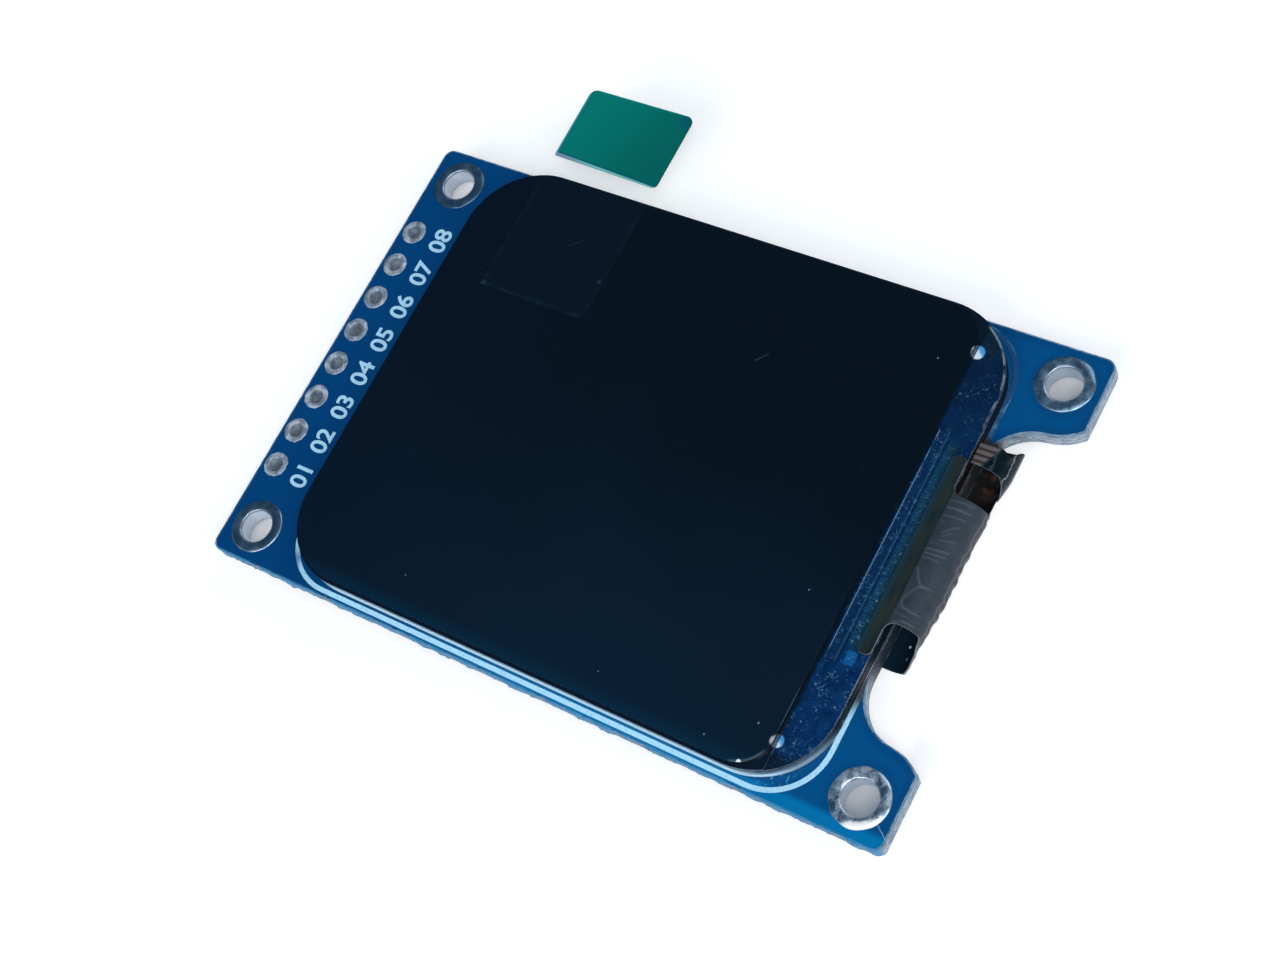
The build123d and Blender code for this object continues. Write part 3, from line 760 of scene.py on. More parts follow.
upper_glass, shader, place, x, y, z = finish(
    "colour_filter_glass_edge", Coat_Roughness=0.05, Specular_IOR_Level=0.2
)
edge = effect(cut_edge, place)
spot_light = tint(noise(place, 2.6, 2), (70, 120, 160), (170, 196, 214))
face = tint(peep_mask(x, y, 0.25) * 0.3, (4, 20, 38), spot_light)
# Painted highlights: light streaks on the glass's cut edge, towards the -X side only.
streaks = rise(edge["Streaks"], 0.4, 0.75)
rim = tint(streaks * rise(x, -10.0, -14.0), (8, 26, 42), (110, 140, 160))
feed(
    shader,
    Base_Color=tint(edge["Edge"], face, rim),
    Roughness=0.15 + edge["Streaks"] * 0.3,
    Coat_Weight=0.6 - edge["Edge"] * 0.4,
    Normal=relief(edge["Streaks"], 0.02),
)
dress(upper_glass, "colour_filter_glass")

silicon, shader, place, x, y, z = finish("driver_chip_silicon", Coat_Roughness=0.1, Specular_IOR_Level=0.2)
specks = effect(dust, stretched(place, (1.9, 1.9, 1.9)), Amount=0.95)
mottle = noise(stretched(place, (1, 2, 1)), 1.8, 4, 0.6)
top = tint(mottle, (0, 26, 56), (8, 52, 92))
broken = rise(noise(place, 0.8, 3), 0.3, 0.55)
inner_line = between(y, -16.71, -16.64, 0.02) * broken * 0.75
top = tint(inner_line, top, (116, 150, 178))
top = tint(between(y, -17.33, -17.24, 0.03), top, (34, 70, 100))
grit = effect(trapped_grit, stretched(place, (1.3, 1.3, 1.3), 0.6))
top = tint(grit["Curls"] * 0.5, top, (96, 144, 180))
top = tint(grit["Flecks"], top, (140, 176, 204))
top = tint(specks["Specks"] * 0.5, top, (140, 172, 198))
feed(
    shader,
    Base_Color=top,
    Roughness=0.22 + mottle * 0.15,
    Coat_Weight=0.3 + mottle * 0.3,
    Normal=relief(mottle, 0.01),
)
dress(silicon, "driver_chip")


# Flexible circuit of the display: one thin polyimide sheet, bonded to the ledge, narrowed to a neck
# between two C-shaped cut-outs, folded round the board's end and run back under it. The fold has
# wrinkles across it, and a thin pale rim shows along every cut.
flex_thickness, bond_start_y, bond_z = 0.1, -18.0, 1.31
fold_y, fold_radius = -19.35, 1.28
bond_half, neck_half = 6.25, 4.0
tail_left, tail_right, tongue_half = 5.95, 8.25, 5.2
bond_depth, neck_fillet, bond_fillet = 0.88, 0.6, 0.3
fold_start = bond_start_y - fold_y
fold_length = math.pi * fold_radius
tail_start, tail_step, flex_end = 4.198, 11.44, 15.04


def sheet(grid, thickness):
    """Closed shell round a middle surface given as a grid of points: each side lies half the
    thickness off along the cross product of the two grid directions, and a wall joins the borders."""
    along, across = np.gradient(grid, axis=0), np.gradient(grid, axis=1)
    normal = np.cross(along, across)
    normal /= np.maximum(np.linalg.norm(normal, axis=-1), 1e-9)[..., None]
    rows, columns = grid.shape[:2]
    step = normal * thickness / 2
    points = np.concatenate([(grid + step).reshape(-1, 3), (grid - step).reshape(-1, 3)])
    front = grid_faces(rows, columns)[:, ::-1]
    index = np.arange(rows * columns).reshape(rows, columns)
    border = np.concatenate([index[0, :-1], index[:-1, -1], index[-1, :0:-1], index[:0:-1, 0]])
    following = np.roll(border, -1)
    total = rows * columns
    wall = np.stack([border, following, following + total, border + total], 1)
    return points, np.concatenate([front, front[:, ::-1] + total, wall])


def bent_path(distance, start_y, start_z, bend_at, radius):
    """Point and outward direction of a path seen from the side: straight towards -Y, then half a
    circle of the given radius downwards, then straight back towards +Y."""
    angle = np.clip((distance - bend_at) / radius, 0, math.pi)
    run_on = np.clip(distance - bend_at - math.pi * radius, 0, None)
    y = start_y - np.minimum(distance, bend_at) - radius * np.sin(angle) + run_on
    z = start_z - radius * (1 - np.cos(angle))
    return y, z, -np.sin(angle), np.cos(angle)


def cosine_steps(first, last, count):
    """Values from first to last that crowd towards both ends, as the cosine of an even angle."""
    return first + (last - first) * (1 - np.cos(np.linspace(0, math.pi, count))) / 2


def corner_steps(first_s, first_w, last_s, last_w, count, hollow):
    """Quarter of an ellipse between two rows. The width follows the cosine of an even angle and the
    distance its sine, and the other way round where the corner is hollow."""
    angle = np.linspace(0, math.pi / 2, count)
    slow, fast = 1 - np.cos(angle), np.sin(angle)
    if hollow:
        slow, fast = fast, slow
    return first_s + (last_s - first_s) * fast, first_w + (last_w - first_w) * slow


def even_steps(first_s, last_s, count, *widths):
    """Evenly spaced rows with the same width, or the same two half widths, in each."""
    return (np.linspace(first_s, last_s, count), *(np.full(count, width) for width in widths))


bond_flat, neck_wide = bond_half - bond_fillet, neck_half + neck_fillet
fold_end = fold_start + fold_length
rows = [
    corner_steps(0, bond_flat, bond_fillet, bond_half, 9, True),
    even_steps(bond_fillet, bond_depth - bond_fillet, 6, bond_half),
    corner_steps(bond_depth - bond_fillet, bond_half, bond_depth, bond_flat, 9, False),
    even_steps(bond_depth + 0.002, bond_depth + 0.002, 1, neck_wide),
    corner_steps(bond_depth + 0.004, neck_wide, bond_depth + neck_fillet, neck_half, 12, True),
    even_steps(bond_depth + neck_fillet + 0.05, 3.5, 40, neck_half),
    corner_steps(3.54, neck_half, tail_start - 0.004, neck_wide, 12, False),
    even_steps(tail_start, tail_start, 1, tail_left - 0.25, tail_right - 0.3),
    even_steps(tail_start + 0.06, fold_end, 22, tail_left, tail_right),
    even_steps(fold_end + 0.1, tail_step, 40, tail_left, tail_right),
    even_steps(tail_step + 0.004, flex_end, 20, tongue_half),
]
flex_s, flex_left, flex_right = (np.concatenate([row[part] for row in rows]) for part in (0, 1, -1))
apart = np.concatenate([[True], np.diff(flex_s) > 1e-4])
flex_s = flex_s[apart][:, None]
flex_left, flex_right = flex_left[apart][:, None], flex_right[apart][:, None]
shoulder_s = [2.85, 2.95, 3.05, 3.15, 3.3, 3.85, 4.0, 4.15]
shoulder_half = [4.0, 4.03, 4.1, 4.24, 4.52, 5.55, 5.78, 5.95]
shoulder = np.interp(flex_s, shoulder_s, shoulder_half)
flex_left = np.where((flex_s > 2.85) & (flex_s < 4.3), shoulder, flex_left)
flex_share = np.linspace(0, 1, 181)[None, :]
flex_x = panel_middle_x - flex_left + (flex_left + flex_right) * flex_share
flex_s = np.broadcast_to(flex_s, flex_x.shape)
flex_y, flex_z, out_y, out_z = bent_path(flex_s, bond_start_y, bond_z, fold_start, fold_radius)


def swell(value, centre, width):
    """Bell-shaped bump: e to the minus square of the distance from its centre over its width."""
    return np.exp(-(((value - centre) / width) ** 2))


creases = [
    ([(3.86, 1.0), (3.92, 1.5), (4.05, 2.5)], 0.022),
    ([(3.4, 0.95), (3.46, 1.5), (3.6, 2.45)], 0.03),
    ([(2.92, 1.0), (2.98, 1.5), (3.13, 2.35)], 0.022),
    ([(2.6, 1.0), (2.5, 1.35)], 0.016),
    ([(1.9, 1.43), (2.25, 1.7), (2.62, 2.15)], 0.022),
    ([(1.7, 1.48), (1.9, 1.65), (2.08, 1.88)], 0.018),
    ([(1.48, 1.5), (1.6, 1.83), (1.8, 2.46)], 0.02),
    ([(1.2, 1.1), (1.28, 1.5)], 0.014),
    ([(0.78, 0.95), (0.88, 1.6), (1.05, 2.25)], 0.03),
    ([(0.52, 0.95), (0.6, 1.6), (0.73, 2.25)], 0.024),
    ([(0.26, 1.0), (0.3, 1.5), (0.33, 1.95)], 0.018),
    ([(-0.38, 1.1), (-0.97, 1.4), (-1.3, 1.66), (-1.22, 2.53)], 0.03),
    ([(-2.4, 1.1), (-1.9, 1.3), (-1.4, 1.6), (-1.24, 2.1)], 0.026),
    ([(-2.4, 1.1), (-2.78, 1.25), (-2.86, 1.8), (-2.82, 2.5)], 0.03),
    ([(-3.75, 1.15), (-3.52, 1.66), (-3.44, 2.85)], 0.026),
    ([(-3.2, 1.0), (-3.25, 1.4), (-3.2, 1.8)], 0.012),
]
along_neck = flex_s - bond_depth
crease = np.zeros_like(flex_x)
for stops, tall in creases:
    for (near_x, near_s), (far_x, far_s) in zip(stops[:-1], stops[1:]):
        run_x, run_s = far_x - near_x, far_s - near_s
        off_x, off_s = flex_x - near_x, flex_s - near_s
        share = np.clip((off_x * run_x + off_s * run_s) / (run_x**2 + run_s**2), 0, 1)
        gap = np.hypot(off_x - share * run_x, off_s - share * run_s)
        crease = np.maximum(crease, tall * swell(gap, 0, 0.042))
crease *= np.clip(along_neck / 0.2, 0, 1) * np.clip((2.75 - flex_s) / 1.1, 0, 1) ** 0.7
outer_bend = swell(along_neck, 2.7, 0.75)
crumple = 0.035 * outer_bend * ripple(flex_x * 0.75, 10, 2, 14, 3)
crumple += 0.02 * outer_bend * ripple(flex_x * 0.9 + flex_s * 0.5, 8, 4, 20, 8)
bulge = 0.36 * swell(flex_s, 3.7, 1.1) * np.clip((flex_x - 2.4) / 3.2, 0, 1) ** 1.5
low_bulge = 0.25 * swell(flex_s, 3.9, 1.0) * np.clip((flex_x + 4.5) / 3, 0, 1)
low_bulge *= np.clip((6.0 - flex_x) / 3, 0, 1)
lift = crease + crumple + bulge + low_bulge
flex_points = np.stack([flex_x, flex_y + out_y * lift, flex_z + out_z * lift], -1)


def flat_cut(tree):
    """Place on a sheet's flat cut in millimetres, across and along, and the mark of the side that
    shows."""
    unfolded = add(tree, "ShaderNodeUVMap", uv_map="unfolded")[0]
    flat = add(tree, "ShaderNodeSeparateXYZ", {0: unfolded})
    return flat[0] * 100.0, flat[1] * 100.0, add(tree, "ShaderNodeAttribute", attribute_name="side")["Fac"]


polyimide, shader, place, x, y, z = finish("polyimide_circuit", Coat_Roughness=0.25, Specular_IOR_Level=0.15)
flat_x, flat_s, side = flat_cut(place.tree)
ridge = add(place.tree, "ShaderNodeAttribute", attribute_name="ridge")["Fac"]
specks = effect(dust, stretched(place, (2, 2, 2)), Amount=0.35)
mottle = noise(place, 1.4, 4, 0.6)
outer = tint(mottle, (38, 48, 58), (52, 62, 72))
outer = tint(rise(flat_s, 2.4, 3.4), outer, (60, 62, 70))
# Painted highlights: the crease ridges and two wavy lines across the fold are painted lighter, where they catch
# the light.
outer = tint(ridge * 0.5, outer, (92, 102, 112))
waver = flat_s + noise(stretched(place, (1.3, 0, 0)), 1.0, 2) * 0.5
waves = between(waver, 3.42, 3.5, 0.05) + between(waver, 3.86, 3.96, 0.06)
outer = tint(waves * 0.6, outer, (112, 118, 126))
streaked = noise(stretched(place, (0.6, 3.0, 1)), 0.9, 4, 0.6)
bonded = tint(rise(streaked, 0.3, 0.7), (18, 36, 40), (40, 46, 42))
bonded = tint(rise(flat_s + streaked * 0.3, 0.62, 0.12), bonded, (16, 52, 66))
outer = tint(rise(flat_s, 0.95, 1.05), bonded, outer)
outer = tint(specks["Specks"] * 0.5, outer, (176, 188, 198))
# The inner face is painted darker than the outer one: partly its own colour, partly painted shade.
inner = tint(mottle, (2, 20, 34), (14, 38, 54))
amber = between(flat_x, 4.2, 8.2, 0.4) * between(flat_s, 4.1, 5.8, 0.35)
glow = rise(noise(place, 1.3, 3), 0.4, 0.7) * rise(flat_x, 5.0, 6.2)
amber_tone = tint(glow, (26, 22, 26), (92, 70, 58))
inner = tint(amber, inner, amber_tone)
first_dot = rise(distance_from(flat_x, flat_s, -4.1, 4.79), 0.11, 0.06)
second_dot = rise(distance_from(flat_x, flat_s, -4.83, 4.59), 0.09, 0.05)
inner = tint(first_dot + second_dot * 0.4, inner, (190, 204, 214))
faced = tint(rise(side, 0.4, 0.6), outer, inner)
feed(
    shader,
    Base_Color=tint(rise(side, 1.1, 1.4), faced, (124, 132, 140)),
    Roughness=0.42 + mottle * 0.12,
    Coat_Weight=rise(side, 0.6, 0.4) * mottle * 0.2,
    Normal=relief(mottle, 0.01),
)
flex_shell = sheet(flex_points, flex_thickness)
display_flex = new_piece("folded_display_flex", *flex_shell, polyimide, "display_flex", ["display_flex"])


def unfold(piece, across, along, face_count, ridge):
    """Gives a sheet the UV map of its flat cut, in tenths of a metre to a unit, and two attributes:
    side is 0 on its outer face, 1 on its inner face and 1.5 on its cut edge, and ridge is the height
    of its creases."""
    mesh = piece.data
    heights = np.tile(ridge.ravel(), 2).astype(np.float32)
    mesh.attributes.new("ridge", "FLOAT", "POINT").data.foreach_set("value", heights)
    plan = np.concatenate([np.stack([across, along], -1).reshape(-1, 2)] * 2) / 100
    corner = np.zeros(len(mesh.loops), np.int32)
    mesh.loops.foreach_get("vertex_index", corner)
    layer = mesh.uv_layers.new(name="unfolded")
    layer.data.foreach_set("uv", plan[corner].ravel().astype(np.float32))
    marks = np.full(len(mesh.polygons), 1.5, np.float32)
    marks[:face_count] = 0.0
    marks[face_count : 2 * face_count] = 1.0
    mesh.attributes.new("side", "FLOAT", "FACE").data.foreach_set("value", marks)


flex_quads = (flex_x.shape[0] - 1) * (flex_x.shape[1] - 1)
unfold(display_flex, flex_x, flex_s, flex_quads, np.clip(crease / 0.03, 0, 1))
dress(tinned("flex_solder", (132, 138, 144), (208, 212, 216), 0.24), "flex_solder_joints")


# Flexible circuit of the lamps: a strip over the lamps that comes out of the frame's end as a short
# tail with bare-looking copper stripes, and folds down outside the display's own circuit.
lamp_flex_thickness, lamp_half = 0.08, 9.6
strip_start_y, strip_end_y, strip_rows = -16.83, -18.24, 10
tail_left_x = [6.55, 6.55, 6.5, 6.4, 6.25, 5.95, 5.6, 5.5, 5.5, 5.8, 6.4]
tail_right_x = [7.75, 7.85, 7.9, 7.85, 7.6, 7.95, 8.15, 8.2, 8.2, 8.2, 8.2]
tail_y = [-18.25, -18.9, -19.6, -20.3, -20.75, -21.02, -21.14, -21.0, -20.46, -19.6, -17.6]
tail_z = [0.67, 0.67, 0.72, 0.74, 0.6, 0.3, -0.08, -0.64, -1.2, -1.42, -1.42]


def smooth_run(stops, count):
    """Evenly counted values along a smooth line through stops, given as one list for each of their
    parts: a cubic of each stretch whose slope at a stop is half the difference of its neighbours."""
    stops = np.stack(stops, 1)
    at = np.linspace(0, len(stops) - 1, count)
    index = np.minimum(at.astype(int), len(stops) - 2)
    share = (at - index)[:, None]
    slope = np.gradient(stops, axis=0)
    start, end = stops[index], stops[index + 1]
    rise_in, rise_out = slope[index], slope[index + 1]
    square, cube = share**2, share**3
    return (
        (2 * cube - 3 * square + 1) * start
        + (cube - 2 * square + share) * rise_in
        + (3 * square - 2 * cube) * end
        + (cube - square) * rise_out
    )


tail_yz = smooth_run([tail_y, tail_z], 120)
tail_x = smooth_run([tail_left_x, tail_right_x], 120)
strip_yz = np.stack([np.linspace(strip_start_y, strip_end_y, strip_rows), np.full(strip_rows, tail_z[0])], 1)
strip_x = np.tile([panel_middle_x - lamp_half, panel_middle_x + lamp_half], (strip_rows, 1))
all_yz = np.concatenate([strip_yz, tail_yz])
all_x = np.concatenate([strip_x, tail_x])
lamp_share = np.linspace(0, 1, 25)[None, :]
lamp_x = all_x[:, :1] + (all_x[:, 1:] - all_x[:, :1]) * lamp_share
lamp_y = np.broadcast_to(all_yz[:, :1], lamp_x.shape)
lamp_z = np.broadcast_to(all_yz[:, 1:], lamp_x.shape)
curl = np.clip((lamp_x - 7.0) / 1.4, 0, 1) ** 1.5 * swell(lamp_y, -21.1, 0.38)
curl *= np.clip((lamp_z + 0.6) / 0.4, 0, 1)
tuck = 0.2 * np.clip((6.7 - lamp_x) / 1.2, 0, 1) ** 1.3 * swell(lamp_y, -21.15, 0.4)
lamp_points = np.stack([lamp_x + 0.1 * curl, lamp_y - 0.12 * curl + tuck, lamp_z + 0.34 * curl], -1)
run_length = np.concatenate([[0], np.cumsum(np.linalg.norm(np.diff(all_yz, axis=0), axis=1))])
lamp_s = np.broadcast_to(run_length[:, None], lamp_x.shape)

lamp_circuit, shader, place, x, y, z = finish("lamp_flex_cover", Coat_Roughness=0.12, Specular_IOR_Level=0.12)
flat_x, flat_s, side = flat_cut(place.tree)
mottle = noise(place, 2.0, 4, 0.6)
stripe = abs(calc("FRACT", flat_x * 2.6) - 0.5)
skewed_s = flat_s - (flat_x - 7.2) * 0.5
bare = between(skewed_s, 1.3, 3.0, 0.1)
stripes = rise(stripe, 0.12, 0.3) * bare
ground = tint(mottle, (20, 30, 36), (46, 48, 50))
ground = tint(bare, ground, (58, 48, 44))
cover = tint(stripes, ground, (98, 94, 96))
cover = tint(rise(skewed_s, 3.0, 3.3), cover, tint(mottle, (0, 12, 20), (12, 28, 36)))
cover = tint(rise(flat_s, 4.2, 4.5), cover, tint(mottle, (12, 20, 26), (40, 50, 58)))
# Painted highlights: two thin light lines along the curl of the tail.
wavy_s = flat_s + mottle * 0.5
cover = tint(between(wavy_s, 4.46, 4.52, 0.03) * 0.45, cover, (160, 174, 184))
cover = tint(between(wavy_s, 3.44, 3.58, 0.06) * 0.25, cover, (90, 110, 122))
feed(
    shader,
    Base_Color=tint(rise(side, 1.1, 1.4), cover, (116, 128, 140)),
    Roughness=0.3 + mottle * 0.15,
    Coat_Weight=mottle * 0.25,
    Normal=relief(mottle + stripes, 0.012),
)
lamp_shell = sheet(lamp_points, lamp_flex_thickness)
lamp_flex = new_piece("lamp_flex_with_tail", *lamp_shell, lamp_circuit, "lamp_flex", ["backlight_flex"])
unfold(lamp_flex, lamp_x, lamp_s, (lamp_x.shape[0] - 1) * (lamp_x.shape[1] - 1), curl)


# Protective film: a thin clear film over the black polariser, so the two read as one glossy near
# black face. Its corner by the ledge has come up a little, and dust lies on it.
film_half, film_bottom, film_thickness = 14.65, 1.66, 0.05
film_low, film_high = -16.34, 18.22
ledge_corner, header_corner = 2.1, 4.6
film_clearance, corner_lift, lifted_reach = 0.004, 0.14, 3.4


def rounded_half_width(along, low, high, half, low_radius, high_radius):
    """Half the width of a rounded rectangle at a place along it: the full half width, less what the
    corner circle leaves off near each end."""
    into_low = np.clip(low_radius - (along - low), 0, low_radius)
    into_high = np.clip(high_radius - (high - along), 0, high_radius)
    cut_low = low_radius - np.sqrt(low_radius**2 - into_low**2)
    cut_high = high_radius - np.sqrt(high_radius**2 - into_high**2)
    return half - cut_low - cut_high


def crowded_steps(low, high, low_radius, high_radius, counts):
    """Column of values from low to high that crowd along the two corner stretches and are even
    between them."""
    inner_low, inner_high = low + low_radius, high - high_radius
    start, end = cosine_steps(low, inner_low, counts[0]), cosine_steps(inner_high, high, counts[2])
    return np.concatenate([start[:-1], np.linspace(inner_low, inner_high, counts[1])[:-1], end])[:, None]


film_y = crowded_steps(film_low, film_high, ledge_corner, header_corner, (25, 90, 36))
film_reach = rounded_half_width(film_y, film_low, film_high, film_half, ledge_corner, header_corner)
film_share = cosine_steps(-1, 1, 121)[None, :]
film_x = panel_middle_x + film_reach * film_share
film_y = np.broadcast_to(film_y, film_x.shape)
from_corner = np.hypot(film_x - (panel_middle_x - film_half + 0.4), film_y - (film_low + 0.4))
raised = corner_lift * np.clip(1 - from_corner / lifted_reach, 0, 1) ** 1.6
raised *= 1 + 0.35 * np.sin(film_x * 2.6 + film_y * 3.4)
ripples = np.abs(0.002 * ripple(film_x * 0.35 + film_y * 0.21, 6, 1, 7, 21))
film_z = film_bottom + film_thickness / 2 + film_clearance + raised + ripples
film_points = np.stack([film_x, film_y, film_z], -1)

film_gloss, shader, place, x, y, z = finish(
    "film_over_black_polariser", Coat_Roughness=0.03, Coat_IOR=1.48, Specular_IOR_Level=0.1
)
edge = effect(cut_edge, place)
specks = effect(dust, place, Amount=0.18)
fine_specks = effect(dust, stretched(place, (3.1, 3.1, 3.1), 0.4), Amount=0.16)
# Painted reflection: the near black face is painted lighter and bluer towards -X and its -X edge, and darker
# towards +Y.
haze = noise(place, 0.12, 3)
reflection_to_left = rise(x + haze * 12.0, 14.0, -14.0)
black = tint(reflection_to_left, (3, 12, 22), (8, 29, 48))
black = tint(rise(y, -2.0, 18.0) * 0.6, black, (4, 15, 32))
reflection_near_side = rise(x, -13.4, -14.5)
black = tint(reflection_near_side * 0.6, black, (2, 44, 68))
scratch_field = noise(stretched(place, (0.25, 6.0, 1.0), 0.9), 1.1, 2)
other_field = noise(stretched(place, (7.0, 0.22, 1.0), 0.3), 1.3, 2)
scratches = rise(scratch_field, 0.74, 0.78) + rise(other_field, 0.75, 0.79)
patches = rise(noise(place, 0.22, 2), 0.5, 0.62)
scratches = scratches * patches
# Painted highlights: a light line along the lifted corner's rim and a white spot on it.
corner_ring = distance_from(x, y, -12.32, -14.24)
corner_rim_highlight = rise(corner_ring, 1.93, 2.03) * rise(x, -12.9, -13.4)
corner_rim_highlight = corner_rim_highlight * rise(y, -14.4, -14.8)
black = tint(corner_rim_highlight * 0.5, black, (90, 110, 126))
black = tint(rise(distance_from(x, y, -14.2, -15.13), 0.17, 0.1), black, (236, 240, 244))
cut_line = between(y, -16.33, -16.29, 0.02) * between(x, -11.6, -9.3, 0.4)
black = tint(cut_line * 0.7, black, (66, 92, 112))
for dot_x, dot_y, dot_radius in [
    (-11.83, -15.12, 0.07),
    (-13.6, -12.6, 0.06),
    (-12.28, 9.06, 0.05),
    (-3.93, -14.19, 0.06),
    (-12.83, -5.16, 0.05),
    (11.4, -14.7, 0.06),
]:
    dot = rise(distance_from(x, y, dot_x, dot_y), dot_radius + 0.01, dot_radius - 0.04)
    black = tint(dot * 0.6, black, (150, 168, 182))
hair_along = x * 0.737 + y * -0.675
hair_across = x * 0.675 + y * 0.737
hair = between(hair_along, 8.7, 9.6, 0.1) * between(hair_across, 1.78, 1.81, 0.03)
black = tint(hair * 0.6, black, (80, 104, 124))
black = tint(scratches * 0.12, black, (70, 96, 118))
black = tint(specks["Specks"] * 0.3, black, (120, 145, 165))
black = tint(fine_specks["Specks"] * 0.3, black, (110, 135, 155))
spot_light = tint(rise(noise(place, 1.9, 2), 0.35, 0.6), (96, 110, 122), (206, 212, 218))
black = tint(peep_mask(x, y, 0.45), black, spot_light)
# Painted highlight: the film's cut edge is painted lighter on the -X side.
feed(
    shader,
    Base_Color=tint(edge["Edge"] * rise(x, -12.0, -14.0), black, (56, 76, 92)),
    Roughness=0.12 + haze * 0.1,
    Coat_Weight=0.7 - scratches * 0.2,
    Normal=relief(haze, 0.004),
)
film_shell = sheet(film_points, film_thickness)
new_piece("protective_film_sheet", *film_shell, film_gloss, "protective_film", ["protective_film"])


# Pull tab: a clear adhesive strip stuck to the film, with a green grip at its free end that is a
# hair smaller all round than the strip.
clear_strip, shader, place, x, y, z = finish("clear_pull_strip", IOR=1.48, Coat_Roughness=0.05, Coat_Weight=0.3)
edge = effect(cut_edge, place)
film_side = rise(x, 14.9, 14.7)
streak = noise(stretched(place, (0.6, 2.5, 1), 0.5), 0.8, 4, 0.6)
# Painted highlights: the strip's edges and two corner glints are painted in as paler, less clear marks.
inner_edge = rise(x, 6.85, 6.5)
long_edges = larger(rise(y, 7.5, 7.15), rise(y, 14.6, 14.9)) * 0.5
edge_highlight = larger(inner_edge, long_edges) * rise(noise(place, 1.2, 3), 0.3, 0.7)
upper_glint = rise(distance_from(x, y, 6.6, 14.75), 0.25, 0.05)
lower_glint = rise(distance_from(x, y, 9.1, 7.35), 0.2, 0.05)
corner_glints = larger(upper_glint, lower_glint)
along_bubble = x * 0.61 - y * 0.79
across_bubble = x * 0.79 + y * 0.61
bubble = between(across_bubble, 14.92, 14.97, 0.05) * between(along_bubble, -1.8, -0.9, 0.2)
bubble = bubble * 0.7
shown = larger(edge_highlight * 0.25, larger(corner_glints * 0.8, bubble))
shown = shown * film_side * 0.12 + 0.003
feed(
    shader,
    Base_Color=tint(streak, (40, 120, 170), (110, 170, 210)),
    Roughness=0.15 + streak * 0.15,
    Alpha=shown + streak * film_side * 0.006,
    Normal=relief(streak, 0.006),
)
dress(clear_strip, "pull_strip")

grip_inner, grip_outer, grip_low, grip_high = 16.08, 21.48, 7.1, 14.93
grip_radius, grip_bottom, grip_thickness = 0.55, 1.762, 0.045
grip_x = crowded_steps(grip_inner, grip_outer, grip_radius, grip_radius, (17, 26, 17))
grip_share = cosine_steps(-1, 1, 61)[None, :]
grip_half = (grip_high - grip_low) / 2
wide_half, narrow_half = (
    rounded_half_width(grip_x, grip_inner, grip_outer, grip_half, inner_radius, grip_radius)
    for inner_radius in (0.12, 0.4)
)
grip_half = np.where(grip_share < 0, wide_half, narrow_half)
grip_y = (grip_low + grip_high) / 2 - grip_half * grip_share
grip_x = np.broadcast_to(grip_x, grip_y.shape)
toward_film = (grip_outer - grip_x) / (grip_outer - grip_inner)
skewed = grip_x + 0.2 * toward_film * (grip_y - grip_low) / (grip_high - grip_low)
bowed = 0.012 * np.sin((grip_x - grip_inner) * 0.9) * np.cos((grip_y - grip_low) * 0.5)
grip_points = np.stack([skewed, grip_y, grip_bottom + grip_thickness / 2 + np.abs(bowed)], -1)

green_film, shader, place, x, y, z = finish(
    "green_grip_film", Coat_Roughness=0.12, Coat_IOR=1.48, Specular_IOR_Level=0.2
)
cloud = noise(place, 0.3, 3)
grain = noise(place, 5.0, 3, 0.6)
specks = effect(dust, place, Amount=0.2)
toward_corner = x * -0.38 + y * -0.93
green = tint(rise(toward_corner, -21.5, -13.5), (0, 122, 112), (0, 98, 92))
green = tint(cloud * 0.15, green, (0, 112, 98))
green_edge = (y - 7.1) * 0.045 + 16.2
past_green = green_edge - x
blue_rim = larger(rise(past_green, -0.16, -0.02), rise(y, 14.6, 14.8) * 0.6)
far_blue = rise(distance_from(x, y, 21.3, 7.3), 1.0, 0.3) * 0.8
green = tint(larger(blue_rim, far_blue) * 0.7, green, (0, 78, 108))
pale_rim = larger(rise(x, 21.38, 21.47), rise(y, 14.76, 14.86))
green = tint(pale_rim * 0.6, green, (70, 170, 172))
margin = tint(rise(y, 11.5, 14.6), (120, 196, 190), (128, 150, 176))
green = tint(rise(past_green, 0.0, 0.06) * 0.85, green, margin)
green = tint(specks["Specks"] * 0.35, green, (120, 190, 180))
feed(
    shader,
    Base_Color=green,
    Roughness=0.3 + grain * 0.12,
    Coat_Weight=grain * 0.25,
    Normal=relief(grain, 0.006),
)
grip_shell = sheet(grip_points, grip_thickness)
new_piece("green_grip_sheet", *grip_shell, green_film, "green_grip", ["pull_strip_grip"])


# Studio: a plain white floor that the back parts stand on, soft boxes to the sides and overhead, a
# dim cool surround, and the camera where the photograph was taken from.
floor_z, floor_half = -2.25, 2500.0
mesh = bpy.data.meshes.new("studio_floor")
corners = [(-1, -1), (1, -1), (1, 1), (-1, 1)]
corners = np.array([(across * floor_half, along * floor_half, floor_z) for across, along in corners]) / 1000
mesh.from_pydata(corners.tolist(), [], [(0, 1, 2, 3)])
floor = new_object("studio_floor", mesh)
paper, shader, place, x, y, z = finish(
    "white_paper",
    Base_Color=(0.78, 0.78, 0.78, 1),
    Roughness=0.9,
    Specular_IOR_Level=0.0,
    Emission_Color=(1, 1, 1, 1),
)
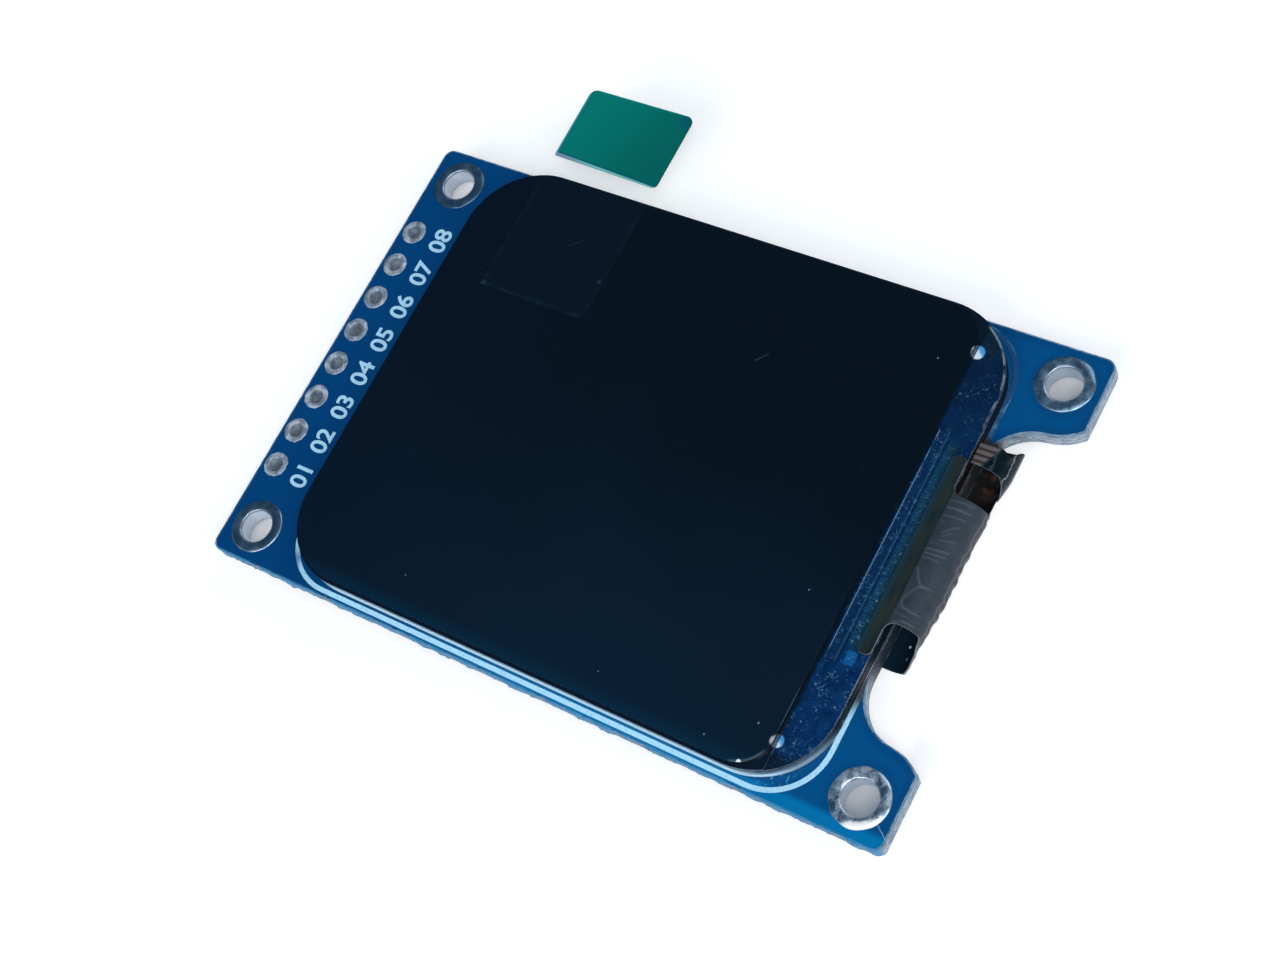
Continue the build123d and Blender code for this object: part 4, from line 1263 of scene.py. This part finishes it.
# Painted shadow: the floor's extra glow is mostly left off under the board, less towards its +Y end and in the
# notch, so the paper there reads as shaded.
board_shadow = between(x, -13.9, 14.9, 0.3) * between(y, -22.1, 23.5, 0.3)
board_shadow = board_shadow * (rise(y, 8.0, 18.0) * -0.5 + 1.0)
in_notch = rise(abs(x), 11.1, 10.7) * rise(y, -16.8, -17.2)
unshadowed_paper = 1 - board_shadow * (0.8 - in_notch)
ray = add(place.tree, "ShaderNodeLightPath")
seen = larger(ray["Is Camera Ray"], larger(ray["Is Glossy Ray"], ray["Is Transmission Ray"]))
feed(shader, Emission_Strength=seen * unshadowed_paper * 0.4)
mesh.materials.append(paper)

world = bpy.data.worlds.new("cool_surround")
bpy.context.scene.world = world
world.use_nodes = True
world.node_tree.nodes["Background"].inputs["Color"].default_value = (0.3, 0.64, 1.0, 1)
world.node_tree.nodes["Background"].inputs["Strength"].default_value = 0.16

soft_boxes = [
    ("left_soft_box", (-0.75, -0.05, 0.62), 0.7, 0.45, 2.2),
    ("front_soft_box", (-0.1, -0.8, 0.55), 0.7, 0.45, 1.8),
    ("right_soft_box", (0.85, -0.2, 0.5), 0.7, 0.4, 1.2),
    ("overhead_soft_box", (-0.3, -0.45, 0.84), 0.8, 0.25, 2.0),
]
for name, direction, far, side, power in soft_boxes:
    lamp = bpy.data.lights.new(name, "AREA")
    lamp.size, lamp.energy = side, power
    stand = new_object(name, lamp)
    heading = np.array(direction) / np.linalg.norm(direction)
    stand.location = heading * far
    stand.rotation_euler = stand.location.to_track_quat("Z", "Y").to_euler()

camera_data = bpy.data.cameras.new("photo_camera")
camera_data.lens, camera_data.sensor_width = 57.8676, 36.0
camera_data.clip_start, camera_data.clip_end = 0.002, 20.0
camera = new_object("photo_camera", camera_data)
sight = np.array(
    [
        (0.4652526, 0.8529588, -0.2366457, -29.8225),
        (-0.8273971, 0.3240471, -0.458702, -56.3368),
        (-0.3145696, 0.4092123, 0.8564994, 103.7632),
        (0, 0, 0, 1),
    ]
)
sight[:3, 3] /= 1000
camera.matrix_world = Matrix(sight.tolist())
bpy.context.scene.camera = camera

bpy.context.scene.view_settings.view_transform = "Standard"
